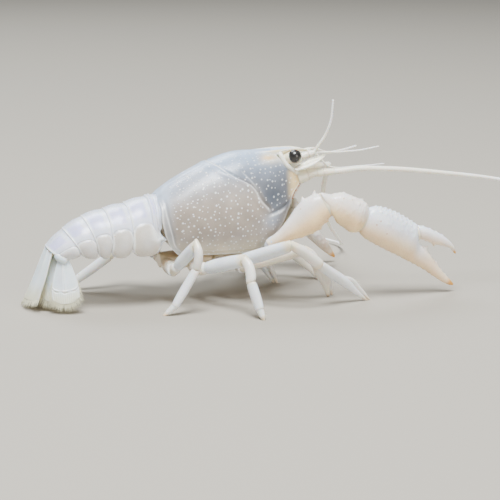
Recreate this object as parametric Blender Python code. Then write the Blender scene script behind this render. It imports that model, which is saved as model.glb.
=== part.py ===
"""Everglades crayfish, white colour form, a still life-size model standing on small flat feet.

+X points forward along the body, +Y to the animal's left and +Z up. The shape is set out in
millimetres from a point on the floor under the middle of the carapace. Every mesh is turned
into metres as it is made, and at the end the whole animal is moved so that the middle of its
bounding box, at floor level, is the origin.
"""
import bmesh
import bpy
import numpy as np
from mathutils import Vector

MM = 0.001
GAP = 0.3
HALF_GAP = GAP / 2

# Carapace: side outline as (x, z), widths as (x, y), edges as (roll angle, x).
# The roll angle is 0 on the back and CARAPACE_ROLL at the lower margin.
CARAPACE_ROLL = 140
CARAPACE_TOP = [(-26, 26.8), (-21, 30.4), (-16, 33.2), (-10, 35.8), (-5, 37.3), (2, 37.6), (12, 37.3)]
CARAPACE_LOW = [(-26, 19.5), (-24, 16.5), (-22.4, 13.8), (-20, 12.6), (-14, 12.4), (12, 12.4)]
CARAPACE_MIDDLE = [(-26, 22.0), (-10, 22.6), (0, 23.0), (6, 23.7), (9, 24.6), (12, 26.2)]
CARAPACE_HALF_WIDTH = [
    (-26, 8.1), (-21, 9.4), (-14, 10.3), (-7, 10.5), (-1, 10.1), (4, 8.7), (8, 6.7), (12, 4.9),
]
REAR_EDGE = [(0, -24.7), (25, -25.1), (60, -24.9), (110, -24.4), (128, -23.2), (140, -20.4)]
FRONT_EDGE = [
    (0, 5.6), (25, 6.2), (40, 8.0), (52, 10.2), (60, 11.6), (72, 11.4), (80, 10.2), (90, 9.0), (110, 6.2),
    (140, -0.7),
]
GROOVE_LINE = [
    (0, -11.6), (20, -10.2), (50, -5.3), (61, -1.6), (78, 0.9), (90, 3.2), (110, 1.5), (140, -5.0),
]
GROOVE_DEPTH = 0.75
GROOVE_HALF_WIDTH = 1.1

# Rostrum: its sections along x, its half width, the height of its margins and its thickness.
ROSTRUM_SECTIONS = [-4, 0, 3, 5.5, 8, 10, 11.5, 13, 15.2]
ROSTRUM_HALF_WIDTH = [(-4, 2.6), (3, 3.3), (8, 2.7), (11.5, 2.1), (13, 1.1), (15.2, 0.25)]
ROSTRUM_TOP = [(-4, 37.1), (3, 37.6), (8, 37.8), (12, 37.7), (15.2, 37.2)]
ROSTRUM_THICKNESS = [(-4, 2.5), (5, 1.7), (10, 1.2), (15.2, 0.6)]
ROSTRUM_RIM = 0.1
ROSTRUM_HOLLOW = 0.3

# Abdomen: for each boundary between its segments, from the carapace to the tail fan, the
# top point (x, z), the lean of the boundary forward at its foot in degrees, the half width,
# the depth down to the notch between two side lobes, how far the lobes curve forward and
# how far the flanks do.
BOUNDARIES = [
    (-25.5, 26.6, 0, 6.6, 10.4, 0.0, 0.0),
    (-27.7, 26.9, 3, 8.3, 11.2, 1.9, 0.3),
    (-33.2, 25.4, 2, 8.6, 10.3, 0.3, 0.8),
    (-38.5, 24.2, 3, 8.3, 9.3, 0.2, 0.8),
    (-44.0, 22.5, 20, 7.7, 8.5, 0.1, 0.6),
    (-48.8, 19.5, 35, 7.0, 6.6, 0.0, 0.4),
    (-53.1, 15.3, 58, 5.8, 5.4, 0.0, 0.0),
]
FIRST_HALF_WIDTH = 6.2
BACK_SWELL = 0.15
LOBE_DROP = [0.6, 2.4, 2.0, 1.8, 1.5, 1.0]
LOBE_START = 0.667
LOBE_THICKNESS = 1.2
BELLY_RISE = 1.9
BACK_STEP = 0.35

# Tail fan: plates hang from the last abdomen segment and stand round a half cone. A root is
# a place on that segment's end face, as (distance below its top, y), a tip is (x, y, z).
TELSON_ROOT = (0.9, 0.0)
TELSON_TIP = (-59.9, 0.0, 0.0)
TELSON_HALF_WIDTH = 5.3
TELSON_THICKNESS = 1.2
TELSON_CUP = 3.0
INNER_ROOT = (3.3, 2.8)
INNER_TIP = (-53.9, 6.4, 0.0)
INNER_HALF_WIDTH = 3.1
OUTER_ROOT = (4.4, 5.2)
OUTER_TIP = (-49.6, 10.4, 0.0)
OUTER_HALF_WIDTH = 3.5
BLADE_THICKNESS = 1.0
BLADE_CUP = 0.3
TELSON_OUTWARD = (-1, 0, 0.5)
INNER_OUTWARD = (-0.61, 0.79, 0.25)
OUTER_OUTWARD = (-0.27, 0.96, 0.3)
FAN_SHAPE = [(0, 0.42), (0.15, 0.62), (0.45, 0.95), (0.7, 1.0), (0.88, 0.84), (1, 0.45)]
TELSON_SHAPE = [(0, 0.8), (0.3, 0.95), (0.6, 0.92), (0.85, 0.85), (1, 0.5)]
RIB_HEIGHT = 0.3

# Head: eyes, feelers and mouthparts. Places have y outward; the eyes are turned differently.
LEFT_EYE_CENTRE = (10.4, 4.6, 35.8)
RIGHT_EYE_CENTRE = (10.5, 5.0, 36.3)
EYE_RADIUS = 1.68
STALK_ROOT = (2.7, 34.8)
STALK_RADIUS = 1.15
ANTENNULE_ROOT = (1.75, 32.4)
ANTENNULE_KNEE = (13.4, 1.8, 35.2)
ANTENNULE_END = (16.6, 2.2, 36.7)
ANTENNULE_RADIUS = 1.0
ANTENNA_ROOT = (3.9, 29.9)
ANTENNA_ELBOW = (15.2, 4.4, 31.2)
ANTENNA_END = (21.0, 5.0, 32.0)
ANTENNA_RADIUS = 1.75
SCALE_ROOT = (12.2, 5.3, 32.4)
SCALE_TIP = (18.6, 5.9, 36.0)
SCALE_WIDTH = 3.0
SCALE_THICKNESS = 0.8
SCALE_SHAPE = [(0, 0.5), (0.25, 0.8), (0.55, 0.95), (0.8, 0.65), (1, 0.12)]
SCALE_OUTWARD = (-0.25, 0.55, 0.8)
SCALE_CUP = 0.25
LASH_RADIUS = 0.36
WHIP_RADIUS = 0.75
FEELER_TIP_RADIUS = 0.22
RIGHT_UPPER_LASH = [(19.2, 3.0, 41.2), (20.6, 3.6, 45.5), (20.9, 4.0, 50.2)]
RIGHT_LOWER_LASH = [(23.3, 3.0, 36.6), (28.0, 3.6, 36.9), (33.5, 4.0, 37.8)]
LEFT_UPPER_LASH = [(22.6, 5.0, 35.2), (27.6, 8.0, 35.2), (32.4, 11.0, 35.6)]
LEFT_LOWER_LASH = [(22.2, 2.2, 31.9), (30.0, 2.6, 31.6), (37.6, 3.0, 31.9)]
RIGHT_WHIP = [
    (26.7, 6.0, 32.5), (35.3, 7.0, 32.3), (50.8, 8.5, 30.7), (65.4, 9.5, 28.5), (78.0, 10.5, 25.4),
    (88.0, 11.5, 22.0),
]
LEFT_WHIP = [
    (23.4, 8.6, 29.6), (24.0, 12.6, 25.4), (25.4, 18.0, 19.7), (31.4, 30.0, 10.0), (37.5, 37.6, 2.6),
    (38.6, 46.0, 1.2), (35.0, 54.0, 1.4),
]
JAW_FOOT = [
    (3.3, 1.6, 10.3), (4.6, 1.8, 11.4), (6.0, 2.2, 14.2), (8.8, 2.6, 18.3), (10.8, 2.5, 21.3),
    (11.5, 2.3, 23.4), (11.2, 2.1, 24.6),
]
JAW_FOOT_RADII = [1.2, 1.4, 1.6, 1.6, 1.25, 1.0, 0.5]

# Underside: breastplate between the legs.
BREAST_TOP = 12.0
BREAST_LOW = 8.3
BREAST_HALF_WIDTH = 4.3
BREAST_SECTIONS = [(-24.2, 0.55), (-22.2, 0.9), (-12, 1.0), (-4, 0.9), (3.0, 0.6)]
COXA_SHARES = [1.25, 1.3, 1.05]
CLAW_COXA_RADIUS = 1.45

# Walking legs: for each leg its root on the breastplate, knee, wrist, ankle and foot.
# The ankle is where the last article begins. Numbers are as seen on that side, y outward.
RIGHT_LEGS = {
    2: [(-3.8, 6.8, 8.4), (10.1, 15.0, 13.2), (14.1, 13.0, 8.4), (17.0, 10.5, 4.4), (19.2, 8.6, 0.0)],
    3: [(-9.0, 7.3, 9.2), (5.2, 20.0, 16.5), (12.9, 19.5, 11.0), (20.4, 17.2, 5.4), (27.1, 15.6, 0.0)],
    4: [(-15.4, 7.5, 8.8), (-6.9, 20.0, 13.6), (-6.0, 23.5, 8.6), (-4.5, 25.9, 2.5), (-3.8, 27.2, 0.0)],
    5: [(-22.0, 7.3, 8.8), (-18.1, 16.0, 17.0), (-18.3, 17.0, 11.1), (-23.8, 17.3, 2.4), (-26.5, 16.9, 0.0)],
}
LEFT_LEGS = {
    2: [(-3.8, 6.8, 8.4), (8.6, 13.6, 11.4), (14.0, 12.0, 7.8), (18.9, 9.4, 3.9), (22.4, 7.6, 0.0)],
    3: [(-9.0, 7.3, 9.2), (0.4, 15.6, 12.3), (4.0, 13.4, 8.0), (6.8, 10.4, 4.0), (9.2, 8.0, 0.0)],
    4: [(-15.4, 7.5, 8.8), (-4.4, 17.6, 14.2), (-0.4, 18.6, 9.0), (3.0, 19.2, 2.6), (4.2, 19.4, 0.0)],
    5: [(-22.0, 7.3, 8.8), (-30.0, 12.9, 14.2), (-34.8, 13.2, 8.7), (-43.7, 13.7, 2.6), (-47.3, 14.0, 0.0)],
}
LEG_HALF_WIDTHS = {2: 1.35, 3: 1.6, 4: 1.55, 5: 1.4}
LEG_THINNESS = 0.82
LEG_SIDES = 10
FOOT_RADIUS = 0.45
# Radii along the upper article, the wrist, the foot and the hand, as shares of the leg's own.
UPPER_PLACES = [0, 0.1, 0.16, 0.3, 0.6, 0.88, 1.0]
UPPER_SHARES = [0.95, 1.1, 0.9, 1.1, 1.15, 1.08, 0.95]
WRIST_SHARES = [0.82, 0.88, 0.88, 0.78]
FOOT_SHARES = [0.78, 0.84, 0.64, 0.5]
HAND_SHARES = [0.78, 1.05, 1.05]
FINGER_SHARES = [0.55, 0.5]
KNEE_SHARE = 0.36
WRIST_ARCH = 0.32

# Claws: outlines of arm, wrist and hand in their own plane, as (along, across) pairs.
# Across is positive on the side that the movable finger is on.
ARM_UPPER = [(0, 1.3), (3.9, 1.5), (8, 2.7), (10.8, 3.8), (13.7, 4.6), (16.2, 4.5), (18.4, 3.9)]
ARM_LOWER = [(0, -1.3), (3.6, -1.7), (6.4, -2.5), (9.4, -3.4), (13, -3.9), (15.8, -3.3), (18.4, -2.7)]
ARM_HALF_THICKNESS = [1.3, 1.7, 2.1, 2.5, 2.8, 2.7, 2.4]
WRIST_UPPER = [(0, 3.2), (2.6, 4.6), (6, 4.7), (8.6, 4.5), (10.3, 3.7)]
WRIST_LOWER = [(0, -2.7), (2.5, -3.5), (5.6, -3.5), (8, -4.1), (10.3, -3.4)]
WRIST_HALF_THICKNESS = [2.2, 2.9, 3.2, 3.1, 2.3]
HAND_UPPER = [
    (0, 3.3), (1.5, 4.4), (4.6, 5.0), (8.0, 4.9), (11.2, 4.4), (12.7, 4.1),
    (14.9, 0.5), (16.6, -0.5), (18.9, -1.5), (21.3, -3.0), (24, -4.5), (26.3, -5.5), (27.8, -6.3),
]
HAND_LOWER = [
    (0, -3.2), (1.9, -4.1), (5.2, -4.6), (8.8, -4.9), (12.0, -5.1), (13.9, -5.3),
    (15.6, -5.4), (17.4, -5.6), (19.6, -5.9), (21.9, -6.4), (24.3, -6.9), (26.3, -7.1), (27.6, -6.9),
]
HAND_HALF_THICKNESS = [2.1, 2.6, 3.0, 3.0, 2.8, 2.6, 2.0, 1.8, 1.6, 1.4, 1.1, 0.75, 0.35]
HAND_TIP = (27.7, -6.6)
FINGER_UPPER = [(13.3, 4.15), (15.0, 4.5), (17.3, 4.5), (19.7, 4.3), (21.8, 3.8), (23.7, 2.9), (25.1, 1.5)]
FINGER_LOWER = [(15.3, 1.15), (16.3, 1.25), (18.1, 1.3), (19.9, 1.5), (21.5, 1.8), (23.1, 1.9), (24.8, 1.1)]
FINGER_PIVOT = (13.8, 2.6)
FINGER_HALF_THICKNESS = [1.5, 1.65, 1.55, 1.35, 1.1, 0.75, 0.3]
CLAW_SIDES = 14
RUN_OUT = 4.5
RUN_OUT_SHARE = 0.72
# Spines as (distance along, offset across the thickness), with their height, lean and radius.
ARM_SPINES, ARM_SPINE_SIZE = [(13.6, 0.3), (17.1, 0.3)], (0.95, 0.7, 0.5)
ARM_TEETH, ARM_TOOTH_SIZE = [(11.8, 0.5), (14.0, 0.3)], (0.45, 0.4, 0.4)
WRIST_SPINES, WRIST_SPINE_SIZE = [(3.2, 0), (5.6, 0.9), (7.6, 0)], (0.6, 0.6, 0.45)
PALM_KNOBS = [
    (2.4, 0), (4.2, 0), (6.0, 0), (7.8, 0), (9.6, 0), (11.2, 0),
    (3.4, 1.3), (5.4, 1.3), (7.4, 1.3), (9.2, 1.3),
]
PALM_KNOB_SIZE = (0.42, 0.35, 0.45)
FINGER_KNOBS, FINGER_KNOB_SIZE = [(15.4, 0), (17.0, 0), (18.8, 0)], (0.4, 0.4, 0.4)
HAND_TOOTH = [(17.6, -1.9), (17.8, -0.35)]
FINGER_TOOTH = [(18.2, 2.4), (18.1, 0.85)]
TOOTH_RADIUS = 0.55
CLAW_BASE_RADII = [1.4, 1.45, 1.2]
# How far the finger is shut, how much of the elbow's bend the arm takes, and where it opens to.
RIGHT_OPEN_OUT, RIGHT_ELBOW_SHARE, RIGHT_CLOSED = (0.47, 0.0, 0.87), 0.1, 0
LEFT_OPEN_OUT, LEFT_ELBOW_SHARE, LEFT_CLOSED = (0.12, -0.98, -0.17), 0.5, 16
# Coxa end, start of the arm, elbow, wrist and tip of the fixed finger, y outward.
RIGHT_CLAW = [(3.4, 7.7, 11.6), (2.0, 10.7, 15.0), (16.3, 14.0, 24.8), (26.1, 14.0, 20.7), (51.0, 13.0, 1.3)]
LEFT_CLAW = [(3.4, 7.7, 11.6), (2.2, 11.2, 15.0), (4.0, 23.0, 24.0), (13.5, 21.0, 20.6), (31.8, 26.6, 1.6)]

SHELL_WHITE = (0.80, 0.79, 0.80, 1)
SHELL_GREY = (0.62, 0.61, 0.60, 1)
CREAM = (0.84, 0.80, 0.72, 1)
PEACH = (0.86, 0.78, 0.70, 1)
EYE_BLACK = (0.02, 0.02, 0.03, 1)


def smooth(points, at):
    """Values at the places `at` of the cubic Hermite curve through (place, value) points."""
    place, value = np.array(points, float).T
    slope = np.gradient(value, place)
    i = np.clip(np.searchsorted(place, at) - 1, 0, len(place) - 2)
    step = place[i + 1] - place[i]
    t = np.clip((at - place[i]) / step, 0, 1)
    return (
        (2 * t**3 - 3 * t**2 + 1) * value[i]
        + (t**3 - 2 * t**2 + t) * step * slope[i]
        + (3 * t**2 - 2 * t**3) * value[i + 1]
        + (t**3 - t**2) * step * slope[i + 1]
    )


def unit(vector):
    """The vector at length 1."""
    vector = np.asarray(vector, float)
    return vector / np.linalg.norm(vector)


def on_side(points, side):
    """Points given with y outward, placed on the left (side 1) or the right (side -1)."""
    return [np.array((x, side * y, z), float) for x, y, z in points]


def material(name, colour, roughness):
    """A plain glossy shell material."""
    made = bpy.data.materials.new(name)
    made.use_nodes = True
    shader = made.node_tree.nodes["Principled BSDF"]
    shader.inputs["Base Color"].default_value = colour
    shader.inputs["Roughness"].default_value = roughness
    shader.inputs["Metallic"].default_value = 0.0
    return made


def add_object(name, points, faces, colour, roughness=0.4, flat=False):
    """A named object with its own material, from points in millimetres and closed faces."""
    mesh = bpy.data.meshes.new(name)
    mesh.from_pydata((np.asarray(points) * MM).tolist(), [], faces)
    shape = bmesh.new()
    shape.from_mesh(mesh)
    bmesh.ops.recalc_face_normals(shape, faces=shape.faces)
    shape.to_mesh(mesh)
    shape.free()
    if not flat:
        mesh.shade_smooth()
        mesh.set_sharp_from_angle(angle=np.radians(40))
    mesh.materials.append(material(name, colour, roughness))
    made = bpy.data.objects.new(name, mesh)
    bpy.context.scene.collection.objects.link(made)
    return made


def loft_faces(rings, sides):
    """Quads between neighbouring rings of equal count, and a cap on both ends."""
    faces = []
    for r in range(rings - 1):
        for s in range(sides):
            after = (s + 1) % sides
            faces.append((r * sides + s, r * sides + after, (r + 1) * sides + after, (r + 1) * sides + s))
    faces.append(tuple(range(sides)))
    faces.append(tuple((rings - 1) * sides + s for s in range(sides)))
    return faces


def loft(name, rings, colour, roughness=0.4):
    """A closed body through a list of rings, each an array of points."""
    return add_object(name, np.concatenate(rings), loft_faces(len(rings), len(rings[0])), colour, roughness)


def oval(centre, across, thick, sides, fullness=1.0):
    """A ring of points round centre, with half axes given as vectors."""
    turn = np.linspace(0, 2 * np.pi, sides, endpoint=False)
    c = np.sign(np.cos(turn)) * np.abs(np.cos(turn)) ** fullness
    s = np.sign(np.sin(turn)) * np.abs(np.sin(turn)) ** fullness
    return np.asarray(centre) + c[:, None] * np.asarray(across) + s[:, None] * np.asarray(thick)


def onto_plane(ring, along, point, normal):
    """The ring slid along a direction until it lies in the plane through point."""
    reach = (np.asarray(point) - ring) @ normal / (along @ normal)
    return ring + reach[:, None] * along


def tube(name, points, radii, colour, sides=8, flatten=1.0, up=(0, 0, 1), ends=(None, None)):
    """A tube along points, mitred at each bend, with an optional end plane normal each side."""
    points = np.array(points, float)
    runs = [unit(b - a) for a, b in zip(points[:-1], points[1:])]
    rings = []
    for i, (point, radius) in enumerate(zip(points, radii)):
        before = runs[max(i - 1, 0)]
        after = runs[min(i, len(runs) - 1)]
        along = unit(before + after)
        across = unit(np.cross(along, up))
        over = np.cross(across, along)
        ring = oval(point, across * radius * flatten, over * radius, sides)
        end = ends[0] if i == 0 else ends[1] if i == len(points) - 1 else None
        if end is not None:
            ring = onto_plane(ring, along, point, unit(end))
        rings.append(ring)
    return loft(name, rings, colour)


def bend_path(points, steps):
    """A smooth path through a few points, with `steps` pieces between neighbours."""
    points = np.array(points, float)
    reach = np.concatenate([[0], np.cumsum(np.linalg.norm(np.diff(points, axis=0), axis=1))])
    at = np.interp(np.arange((len(points) - 1) * steps + 1) / steps, np.arange(len(points)), reach)
    return np.stack([smooth(np.stack([reach, points[:, i]], 1), at) for i in range(3)], 1)


def cone(root, tip, radius, sides=6):
    """A short spine from root to tip, made to be fused."""
    along = unit(np.subtract(tip, root))
    across = unit(np.cross(along, (0.31, 0.95, 0.1)))
    over = np.cross(across, along)
    middle = np.add(root, np.subtract(tip, root) * 0.55)
    rings = [
        oval(root, across * radius, over * radius, sides),
        oval(middle, across * radius * 0.7, over * radius * 0.7, sides),
        oval(tip, across * radius * 0.15, over * radius * 0.15, sides),
    ]
    return loft("spine", rings, SHELL_WHITE)


def keep_largest(mesh):
    """Drops every closed surface of the mesh but the one with most faces."""
    shape = bmesh.new()
    shape.from_mesh(mesh)
    left = set(shape.verts)
    shells = []
    while left:
        edge_of = [left.pop()]
        shell = set(edge_of)
        while edge_of:
            for edge in edge_of.pop().link_edges:
                for vert in edge.verts:
                    if vert in left:
                        left.remove(vert)
                        shell.add(vert)
                        edge_of.append(vert)
        shells.append(shell)
    shells.sort(key=len)
    for shell in shells[:-1]:
        bmesh.ops.delete(shape, geom=list(shell), context="VERTS")
    shape.to_mesh(mesh)
    shape.free()


def fuse(body, pieces):
    """One union of the body with closed pieces, applied, with the pieces removed."""
    group = bpy.data.collections.new("pieces")
    bpy.context.scene.collection.children.link(group)
    for piece in pieces:
        group.objects.link(piece)
    union = body.modifiers.new("union", "BOOLEAN")
    union.operation = "UNION"
    union.operand_type = "COLLECTION"
    union.collection = group
    union.solver = "EXACT"
    graph = bpy.context.evaluated_depsgraph_get()
    mesh = bpy.data.meshes.new_from_object(body.evaluated_get(graph))
    body.modifiers.clear()
    body.data = mesh
    for piece in pieces:
        bpy.data.objects.remove(piece)
    bpy.data.collections.remove(group)
    keep_largest(mesh)
    colour = mesh.materials[0]
    mesh.materials.clear()
    mesh.materials.append(colour)
    return body


def carapace_point(x, roll, depth=0.0):
    """Point of the carapace at x and roll angle in degrees, sunk by depth."""
    top, middle, low = (smooth(line, x) for line in (CARAPACE_TOP, CARAPACE_MIDDLE, CARAPACE_LOW))
    wide = smooth(CARAPACE_HALF_WIDTH, x) - depth
    turn = np.radians(roll)
    foot = abs(np.cos(np.radians(CARAPACE_ROLL)))
    rise = np.where(np.cos(turn) > 0, top - middle - depth, (middle - low) / foot)
    y = wide * np.sign(roll) * np.abs(np.sin(turn)) ** 0.92
    return np.stack([x, y, middle + rise * np.cos(turn)], -1)


def front_face(z):
    """Distance forward of the head's front face at height z, below the orbits."""
    roll = np.linspace(5, CARAPACE_ROLL, 80)
    edge = smooth(FRONT_EDGE, roll)
    return np.interp(z, carapace_point(edge, roll)[::-1, 2], edge[::-1])


def on_front(y, z, side):
    """Point at y and z just in front of the head's front face, and that face's normal."""
    step = np.array([z - 0.4, z + 0.4])
    x = front_face(step)
    normal = unit((0.8, 0, x[0] - x[1]))
    return np.array([x.mean(), side * y, z]) + normal * GAP, normal


def make_carapace():
    """The shell over head and chest, with its cervical groove and the rostrum in front."""
    rolls = np.linspace(-CARAPACE_ROLL, CARAPACE_ROLL, 29)
    rear, groove, front = (smooth(line, np.abs(rolls)) for line in (REAR_EDGE, GROOVE_LINE, FRONT_EDGE))
    behind = np.linspace(0, 1, 11)
    ahead = np.linspace(0, 1, 9)
    lines = [rear + (groove - GROOVE_HALF_WIDTH - rear) * t for t in behind]
    lines.append(groove)
    lines += [groove + GROOVE_HALF_WIDTH + (front - groove - GROOVE_HALF_WIDTH) * t for t in ahead]
    fade = np.clip((98 - np.abs(rolls)) / 20, 0, 1) * GROOVE_DEPTH
    points = [carapace_point(x, rolls, fade if x is groove else 0.0) for x in lines]
    count = len(rolls)
    grid = np.concatenate(points)
    faces = []
    for r in range(len(lines) - 1):
        for s in range(count - 1):
            faces.append((r * count + s, r * count + s + 1, (r + 1) * count + s + 1, (r + 1) * count + s))
        faces.append((r * count, (r + 1) * count, (r + 1) * count + count - 1, r * count + count - 1))
    for first in (0, (len(lines) - 1) * count):
        for s in range(count // 2):
            corners = [first + s, first + s + 1, first + count - 2 - s, first + count - 1 - s]
            faces.append(tuple(dict.fromkeys(corners)))
    body = add_object("carapace", grid, faces, SHELL_GREY, 0.35)

    rings = []
    for x in ROSTRUM_SECTIONS:
        wide, top, thick = (smooth(line, x) for line in (ROSTRUM_HALF_WIDTH, ROSTRUM_TOP, ROSTRUM_THICKNESS))
        rim = 0.25 * wide
        section = [(-wide, 0), (-wide + rim, ROSTRUM_RIM), (0, -ROSTRUM_HOLLOW), (wide - rim, ROSTRUM_RIM)]
        section += [(wide, 0), (wide * 0.75, -0.75 * thick), (0, -thick), (-wide * 0.75, -0.75 * thick)]
        rings.append(np.array([(x, y, top + z) for y, z in section]))
    return fuse(body, [loft("rostrum", rings, SHELL_GREY)])


def abdomen_ring(place, roll, drop, inset=0.0):
    """A half ring over the back: rounded to its widest place, then down the side lobes."""
    x, z, lean, wide, depth, sweep, bulge = place
    turn = np.clip(np.abs(roll) / LOBE_START, 0, 1) * np.pi / 2
    below = np.clip((np.abs(roll) - LOBE_START) / (1 - LOBE_START), 0, 1)
    curve = depth - BELLY_RISE
    y = np.sign(roll) * (wide * np.sin(turn) ** 0.9 - 0.5 * below**2 - inset)
    down = curve * (1 - np.cos(turn)) + (depth - curve + drop) * below
    ahead = bulge * np.sin(turn) * (1 - below) + sweep * below
    lean = np.radians(lean)
    ahead, down = ahead * np.cos(lean) + down * np.sin(lean), down * np.cos(lean) - ahead * np.sin(lean)
    return np.stack([x + ahead, y, z - down], -1)


def make_abdomen(k):
    """Segment k of the abdomen: a rounded back plate, its side lobes and the flesh between."""
    rolls = np.linspace(-1, 1, 19)
    first = np.array(BOUNDARIES[k])
    last = np.array(BOUNDARIES[k + 1])
    inset = 0.2 / np.linalg.norm((last - first)[:2])
    rings = []
    for t in np.linspace(inset, 1 - inset, 6):
        place = first + (last - first) * t
        swell = np.sin(np.pi * t)
        step = BACK_STEP * (1 - t)
        place[1] += BACK_SWELL * swell - step
        place[3] += BACK_SWELL * swell - step
        if k == 0:
            place[3] = FIRST_HALF_WIDTH
        drop = LOBE_DROP[k] * np.sin(np.pi * (0.04 + 0.92 * t)) ** 0.7
        outer = abdomen_ring(place, rolls, drop)
        inner = abdomen_ring(place, rolls, drop, LOBE_THICKNESS)[[18, 17, 16, 15, 3, 2, 1, 0]]
        rings.append(np.concatenate([outer, inner]))
    points = np.concatenate(rings)
    count = len(rings[0])
    faces = loft_faces(len(rings), count)[:-2]
    for first in (0, (len(rings) - 1) * count):
        cap = [(s, s + 1, 17 - s, 18 - s) for s in range(4, 8)]
        cap += [(8, 9, 10), (3, 4, 14, 15, 22, 23)]
        cap += [(0, 1, 25, 26), (1, 2, 24, 25), (2, 3, 23, 24)]
        cap += [(18, 17, 20, 19), (17, 16, 21, 20), (16, 15, 22, 21)]
        faces += [tuple(first + v for v in corners) for corners in cap]
    return add_object(f"abdomen_{k + 1}", points, faces, SHELL_WHITE, 0.35)


def tail_root(down, y):
    """Point just behind the end face of the abdomen, and that face's normal."""
    x, z, lean = BOUNDARIES[-1][:3]
    lean = np.radians(lean)
    normal = np.array([-np.cos(lean), 0, -np.sin(lean)])
    return np.array([x + down * np.sin(lean), y, z - down * np.cos(lean)]) + normal * HALF_GAP, normal


def blade(name, root, tip, half_width, thickness, outward, cup, colour, shape, face=None):
    """A thin curved plate from root to tip, cupped across and rounded at its end.

    outward is the direction that its outer face looks to, cup how far its edges bend in,
    and shape the half width along it as (fraction, share) pairs. Where face is given, the
    root's edge lies in the plane with that normal.
    """
    root, tip, outward = (np.array(v, float) for v in (root, tip, outward))
    along = unit(tip - root)
    across = unit(np.cross(along, outward))
    out = np.cross(across, along)
    rows = np.array([0, 0.12, 0.3, 0.5, 0.7, 0.83, 0.92, 0.97, 1.0])
    columns = np.linspace(-1, 1, 7)
    length = np.linalg.norm(tip - root)
    outer = []
    inner = []
    for t in rows:
        wide = half_width * smooth(shape, t)
        thick = thickness * (1 - 0.45 * t)
        for c in columns:
            bend = -cup * c**2 * wide / half_width * (0.2 + 0.8 * t)
            place = root + along * length * t + across * wide * c + out * bend
            rib = RIB_HEIGHT * max(0, 1 - abs(c) * 3) * (1 - t)
            outer.append(place + out * (thick / 2 + rib))
            inner.append(place - out * thick / 2)
            if face is not None and t == 0:
                outer[-1], inner[-1] = onto_plane(np.array([outer[-1], inner[-1]]), along, root, face)
    points = np.array(outer + inner)
    points[:, 2] = np.maximum(points[:, 2], 0)
    wide = len(columns)
    total = len(outer)
    faces = []
    for r in range(len(rows) - 1):
        for c in range(wide - 1):
            a, b = r * wide + c, r * wide + c + 1
            d, e = a + wide, b + wide
            faces += [(a, b, e), (a, e, d)]
            faces += [(total + a, total + e, total + b), (total + a, total + d, total + e)]
    rim = list(range(wide))
    rim += [r * wide + wide - 1 for r in range(1, len(rows))]
    rim += [(len(rows) - 1) * wide + c for c in range(wide - 2, -1, -1)]
    rim += [r * wide for r in range(len(rows) - 2, 0, -1)]
    for a, b in zip(rim, rim[1:] + rim[:1]):
        faces += [(a, total + a, total + b), (a, total + b, b)]
    return add_object(name, points, faces, colour, 0.35)


def make_tail_fan():
    """Telson in the middle and an inner and an outer blade on each side."""
    root, face = tail_root(*TELSON_ROOT)
    blade(
        "telson", root, TELSON_TIP, TELSON_HALF_WIDTH, TELSON_THICKNESS, TELSON_OUTWARD, TELSON_CUP,
        SHELL_WHITE, TELSON_SHAPE, face,
    )
    for side, tag in ((1, "l"), (-1, "r")):
        root, face = tail_root(INNER_ROOT[0], side * INNER_ROOT[1])
        tip, out = on_side([INNER_TIP, INNER_OUTWARD], side)
        blade(
            f"tail_inner_{tag}", root, tip, INNER_HALF_WIDTH, BLADE_THICKNESS, out, BLADE_CUP, SHELL_WHITE,
            FAN_SHAPE, face,
        )
        root, face = tail_root(OUTER_ROOT[0], side * OUTER_ROOT[1])
        tip, out = on_side([OUTER_TIP, OUTER_OUTWARD], side)
        blade(
            f"tail_outer_{tag}", root, tip, OUTER_HALF_WIDTH, BLADE_THICKNESS, out, BLADE_CUP, SHELL_WHITE,
            FAN_SHAPE, face,
        )


def make_breastplate():
    """Breastplate under the chest with the short first articles of the ten legs fused on."""
    rings = []
    for x, share in BREAST_SECTIONS:
        middle = (BREAST_TOP + BREAST_LOW) / 2
        half = (BREAST_TOP - BREAST_LOW) / 2
        rings.append(oval((x, 0, middle), (0, BREAST_HALF_WIDTH * share, 0), (0, 0, half), 14, 0.7))
    body = loft("breastplate", rings, CREAM, 0.45)
    coxae = []
    for side, legs, claw in ((1, LEFT_LEGS, LEFT_CLAW), (-1, RIGHT_LEGS, RIGHT_CLAW)):
        for number, joints in legs.items():
            root, knee = on_side(joints[:2], side)
            coxae.append(coxa(leg_inner(root, side), root, knee, LEG_HALF_WIDTHS[number]))
        root, knee = on_side(claw[:2], side)
        coxae.append(coxa(claw_inner(root, side), root, knee, CLAW_COXA_RADIUS))
    return fuse(body, coxae)


def leg_inner(root, side):
    """Inner end of a walking leg's first article, inside the breastplate."""
    return np.array([root[0] - 0.5, side * 2.4, root[2] + 0.9])


def claw_inner(coxa_end, side):
    """Inner end of a claw's first article, inside the breastplate."""
    return np.array([coxa_end[0] - 3.4, side * 2.6, 10.3])


def coxa(inner, root, knee, radius):
    """First article of a leg, from inside the breastplate to the leg's root."""
    end = unit(unit(root - inner) + unit(knee - root))
    path = [inner, inner + (root - inner) * 0.55, root - unit(root - inner) * HALF_GAP]
    return tube("coxa", path, [radius * share for share in COXA_SHARES], CREAM, 10, ends=(None, end))


def trim(made, point, normal):
    """Cuts away what lies past the plane through point, on the side that normal looks to."""
    shape = bmesh.new()
    shape.from_mesh(made.data)
    whole = list(shape.verts) + list(shape.edges) + list(shape.faces)
    cut = bmesh.ops.bisect_plane(
        shape, geom=whole, plane_co=np.asarray(point) * MM, plane_no=unit(normal), clear_outer=True
    )
    rim = [edge for edge in cut["geom_cut"] if isinstance(edge, bmesh.types.BMEdge)]
    bmesh.ops.holes_fill(shape, edges=rim)
    shape.to_mesh(made.data)
    shape.free()


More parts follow.
